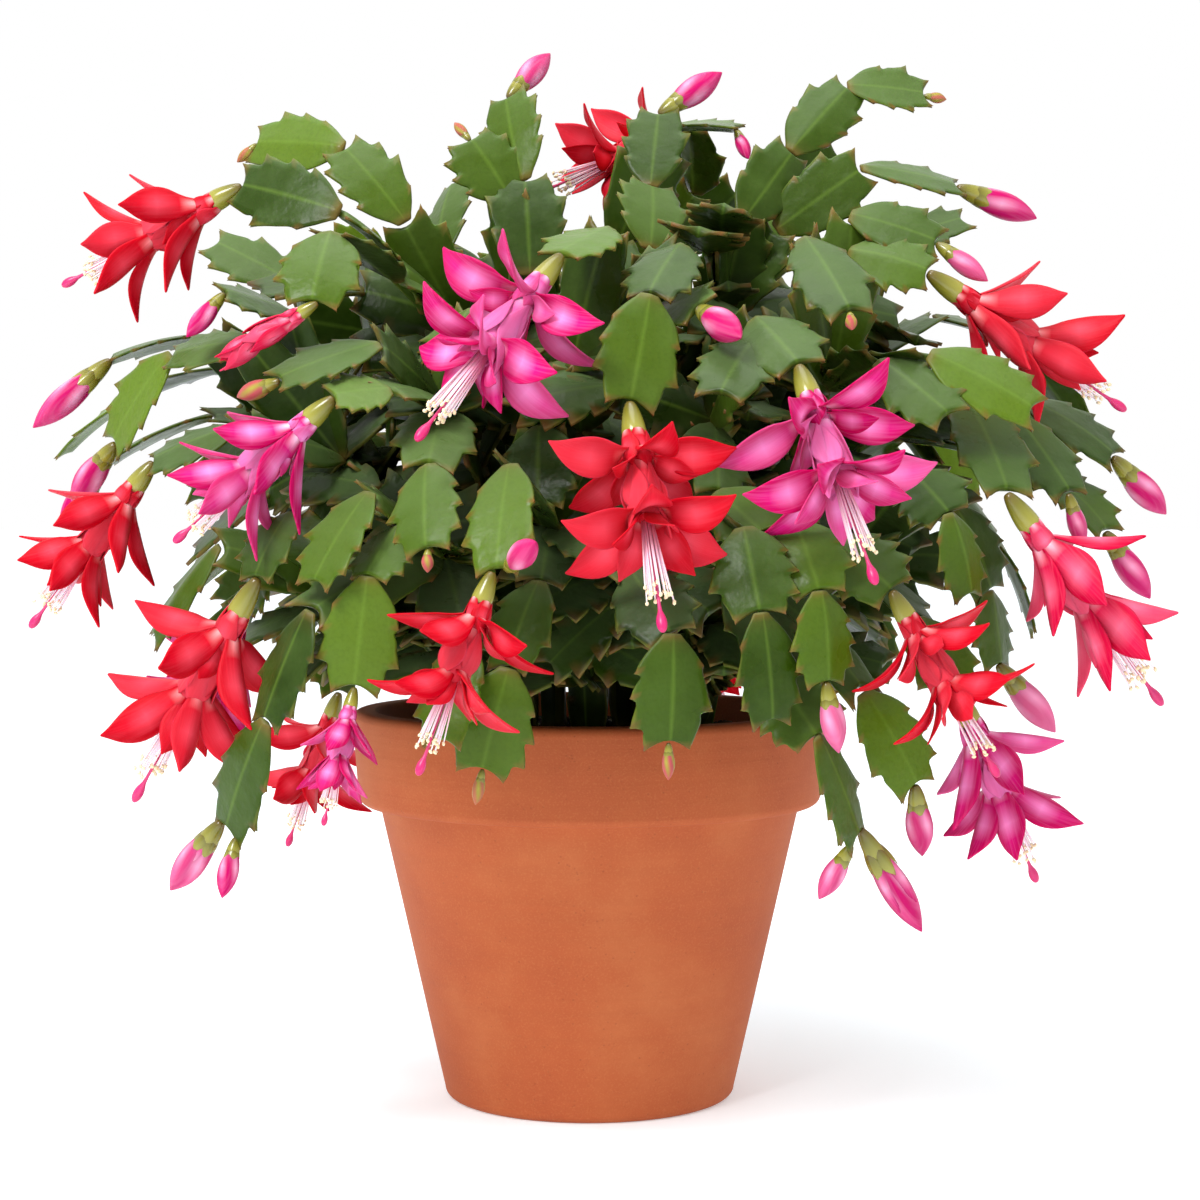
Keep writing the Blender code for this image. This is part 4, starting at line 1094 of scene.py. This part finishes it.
def stem_skin():
    """Waxy succulent skin: deep green, a painted grey-green sheen where it looks up, a pale rib, rusty claws,
    brown joints.
    """
    material, tree, shader = surface("waxy_stem_skin")
    along, edge, claw, tone = growth_paint(tree)
    place = put(tree, "TexCoord").outputs["Object"]
    cloud = speckle(tree, place, 60.0, 4.0, 0.55)
    pores = speckle(tree, place, 900.0, 2.0)
    colour = ramp(tree, tone, (0.0, "#101c02"), (0.2, "#1b2d03"), (0.5, "#2c4006"), (0.8, "#40560c"),
                  (1.0, "#587019"))
    colour = layers(
        tree, colour,
        (cloud, 0.35, 0.75, 0.0, 0.25, "#5c7634"),
        (pores, 0.45, 0.7, 0.0, 0.14, "#1e3006"),
        (edge, 0.0, 0.10, 0.25, 0.0, "#6c8a30"),       # the rib
        (edge, 0.92, 1.0, 0.0, 0.5, "#6a6a2a"))        # the margins
    joints = put(tree, "ValToRGB", {"Fac": along}, stops=[
        (at, (level, level, level, 1.0)) for at, level in JOINT_BROWNING])
    colour = over(tree, colour, joints.outputs["Color"], "#6b5428")
    # rusty claws, weaker on darker copies, so the rust also dims under the filler shoots' painted shade
    rust = worked(tree, "MULTIPLY", claw, ranged(tree, tone, 0.1, 0.6, 0.25, 1.0))
    colour = over(tree, colour, rust, "#8a4a30")
    # painted sheen: faces that look up are laid over with a pale grey-green, as if lit from above
    looks = put(tree, "SeparateXYZ", {"Vector": put(tree, "NewGeometry").outputs["Normal"]})
    colour = layers(tree, colour, (looks.outputs["Z"], 0.35, 0.95, 0.0, 0.38, "#748c5e"))
    waves = speckle(tree, place, 170.0, 2.0)
    feed(shader, {
        "Base Color": colour, "Roughness": ranged(tree, cloud, 0.3, 0.7, 0.24, 0.42),
        "Normal": bumps(tree, waves, 0.35, 0.0012, bumps(tree, pores, 0.12, 0.0004)),
        "IOR": 1.45, "Specular IOR Level": 0.14,
        "Subsurface Weight": 0.12, "Subsurface Radius": (0.4, 1.0, 0.2), "Subsurface Scale": 0.002})
    return material


def petal_skin(name, foot, heart, blush, deep):
    """Thin moist petal tissue: pale along its middle, full colour at its margins and tip, faint veins."""
    material, tree, shader = surface(name)
    along, edge, across, tone = growth_paint(tree)
    colour = ramp(tree, along, (0.0, foot), (0.22, blush), (0.5, heart), (0.72, blush), (1.0, deep))
    strands = put(tree, "CombineXYZ", {"X": across, "Y": along, "Z": tone}).outputs["Vector"]
    strands = put(tree, "Mapping", {"Vector": strands, "Scale": (24.0, 1.4, 7.0)}).outputs["Vector"]
    veins = speckle(tree, strands, 1.0, 3.0)
    colour = layers(
        tree, colour,
        (edge, 0.1, 0.75, 0.0, 1.0, deep),
        (veins, 0.45, 0.8, 0.0, 0.2, heart),
        (tone, 0.5, 1.2, 0.0, 0.5, heart))
    feed(shader, {
        "Base Color": colour, "Normal": bumps(tree, veins, 0.2, 0.0005),
        "Roughness": 0.42, "IOR": 1.38, "Specular IOR Level": 0.12,
        "Subsurface Weight": 0.25, "Subsurface Radius": (1.0, 0.25, 0.4), "Subsurface Scale": 0.002})
    return material


def shaded(name, painted, stops, values):
    """A finish that changes with one of the painted values alone."""
    material, tree, shader = surface(name)
    feed(shader, {"Base Color": ramp(tree, growth_paint(tree)[painted], *stops), **values})
    return material


def ovary_skin():
    """Smooth glossy fruit wall: yellow green, browner at its neck."""
    stops = ((0.0, "#5c4a20"), (0.3, "#6c681c"), (0.82, "#928e36"), (1.0, "#8c5038"))
    return shaded("ovary_skin", ALONG, stops, {
        "Roughness": 0.22,
        "Subsurface Weight": 0.2, "Subsurface Radius": (0.8, 1.0, 0.3), "Subsurface Scale": 0.002})


def flower_part(name, low, high, roughness):
    """Thread-like flower parts, shaded from foot to end."""
    return shaded(name, ALONG, ((0.0, low), (1.0, high)), {
        "Roughness": roughness, "Subsurface Weight": 0.2, "Subsurface Scale": 0.001})


def terracotta():
    """Unglazed fired clay off the wheel: matte orange brown, cloudy and pitted, with faint turning lines."""
    material, tree, shader = surface("fired_terracotta")
    place = put(tree, "TexCoord").outputs["Object"]
    clouds = speckle(tree, place, 22.0, 5.0, 0.6)
    colour = ramp(tree, clouds, (0.3, "#a44c26"), (0.5, "#ac542a"), (0.68, "#b46034"))
    squashed = put(tree, "Mapping", {"Vector": place, "Scale": (6.0, 6.0, 420.0)}).outputs["Vector"]
    lines = speckle(tree, squashed, 1.0, 3.0)
    colour = layers(tree, colour, (lines, 0.4, 0.7, 0.0, 0.13, "#9a4c26"))
    grit = put(tree, "TexVoronoi", {"Vector": place, "Scale": 620.0}).outputs["Distance"]
    rare = ranged(tree, speckle(tree, place, 240.0, 1.0), 0.55, 0.68, 0.0, 1.0)
    pits = worked(tree, "MULTIPLY", ranged(tree, grit, 0.0, 0.28, 0.6, 0.0), rare)
    colour = over(tree, colour, pits, "#7c3c1e")
    grain = speckle(tree, place, 1500.0, 2.0)
    colour = layers(tree, colour, (grain, 0.5, 0.75, 0.0, 0.3, "#c07244"))
    heights = worked(tree, "SUBTRACT", lines, pits)
    feed(shader, {
        "Base Color": colour, "Roughness": 0.78, "IOR": 1.5, "Specular IOR Level": 0.35,
        "Normal": bumps(tree, heights, 0.3, 0.0006, bumps(tree, grain, 0.25, 0.0003))})
    return material


def peat():
    """Damp peat mix: nearly black brown crumbs."""
    material, tree, shader = surface("peat_mix")
    crumbs = speckle(tree, put(tree, "TexCoord").outputs["Object"], 420.0, 6.0, 0.7)
    feed(shader, {
        "Base Color": ramp(tree, crumbs, (0.3, "#120c08"), (0.55, "#2b1d14"), (0.75, "#4a3524")),
        "Roughness": 0.95, "Normal": bumps(tree, crumbs, 0.8, 0.0015)})
    return material


def crumb_skin():
    """Bark bits and a few pale grains of perlite among them."""
    stops = ((0.0, "#1d130c"), (0.55, "#3b2818"), (0.86, "#5a4029"), (0.93, "#c9c0b0"))
    return shaded("bark_and_perlite", TONE, stops, {"Roughness": 0.95})


# ---- Studio ------------------------------------------------------

def build_studio():
    """A white floor, an even bright room and two soft lamps."""
    deselect()
    bpy.ops.mesh.primitive_plane_add(size=40.0)
    floor = bpy.context.object
    floor.name = "studio_floor"
    material, _, shader = surface("matte_white_floor")
    feed(shader, {"Base Color": tint("#eef6fa"), "Roughness": 0.9, "Emission Color": WHITE,
                  "Emission Strength": 0.26})
    floor.data.materials.append(material)
    world = bpy.data.worlds.new("bright_room")
    world.use_nodes = True
    feed(world.node_tree.nodes["Background"], {"Color": WHITE, "Strength": 1.0})
    bpy.context.scene.world = world
    for name, place, size, power in LAMPS:
        lamp = bpy.data.lights.new(name, "AREA")
        lamp.size = size
        lamp.energy = power
        held = bpy.data.objects.new(name, lamp)
        bpy.context.scene.collection.objects.link(held)
        held.location = place
        held.rotation_euler = (UP * LAMP_AIM - held.location).to_track_quat("-Z", "Y").to_euler()


def build_camera():
    bpy.context.scene.view_settings.view_transform = "Standard"
    lens = bpy.data.cameras.new("camera")
    lens.lens = CAMERA_LENS
    held = bpy.data.objects.new("camera", lens)
    bpy.context.scene.collection.objects.link(held)
    held.location = CAMERA_PLACE
    held.rotation_euler = (math.radians(90.0 - CAMERA_DIP), 0.0, 0.0)
    bpy.context.scene.camera = held


def main():
    shapes = {
        "fine": [stem_segment(SEGMENT_ROWS, claws, True) for claws in CLAW_SETS],
        "plain": [stem_segment(SEGMENT_ROWS, claws, False) for claws in CLAW_SETS[:2]],
        "woody": stem_segment(WOODY_ROWS, WOODY_CLAWS, False),
        "petal": petal(),
        "ovary": drawn_up(OVARY_STATIONS, 12),
        "tube": drawn_up(TUBE_SKIN_STATIONS, 12),
        "stalk": drawn_up(((0.0, 1.0), (0.5, 0.9), (1.0, 0.7)), 5, smooth=False),
        "style": drawn_up(STYLE_STATIONS, 8),
        "bud": furled(),
        "anther": anther(),
    }
    finishes = {
        "stem": stem_skin(),
        "ovary": ovary_skin(),
        "petal_red": petal_skin("red_petal", "#f6b0b0", "#e04456", "#c81026", "#b20016"),
        "petal_magenta": petal_skin("magenta_petal", "#f8d0e6", "#ee88c4", "#cc1674", "#b20052"),
        "petal_crimson": petal_skin("crimson_petal", "#f6bcc8", "#ee6a88", "#d01a48", "#b80034"),
        "young_bud": petal_skin("young_bud_petal", "#6c681c", "#968e3c", "#8e7a38", "#a84c50"),
        "bud": petal_skin("bud_petal", "#8a4a34", "#e494b4", "#cc447c", "#b2085a"),
        "filament": flower_part("white_filament", "#e27aa6", "#f8e6ea", 0.4),
        "anther": flower_part("cream_anther", "#dcb48a", "#f0dab4", 0.8),
        "style": flower_part("magenta_style", "#e88ab4", "#c4005e", 0.35),
    }
    build_pot(terracotta())
    build_soil(peat(), crumb_skin())
    ends = build_stems(shapes, finishes)
    build_blooms(ends, shapes, finishes)
    build_studio()
    build_camera()


main()
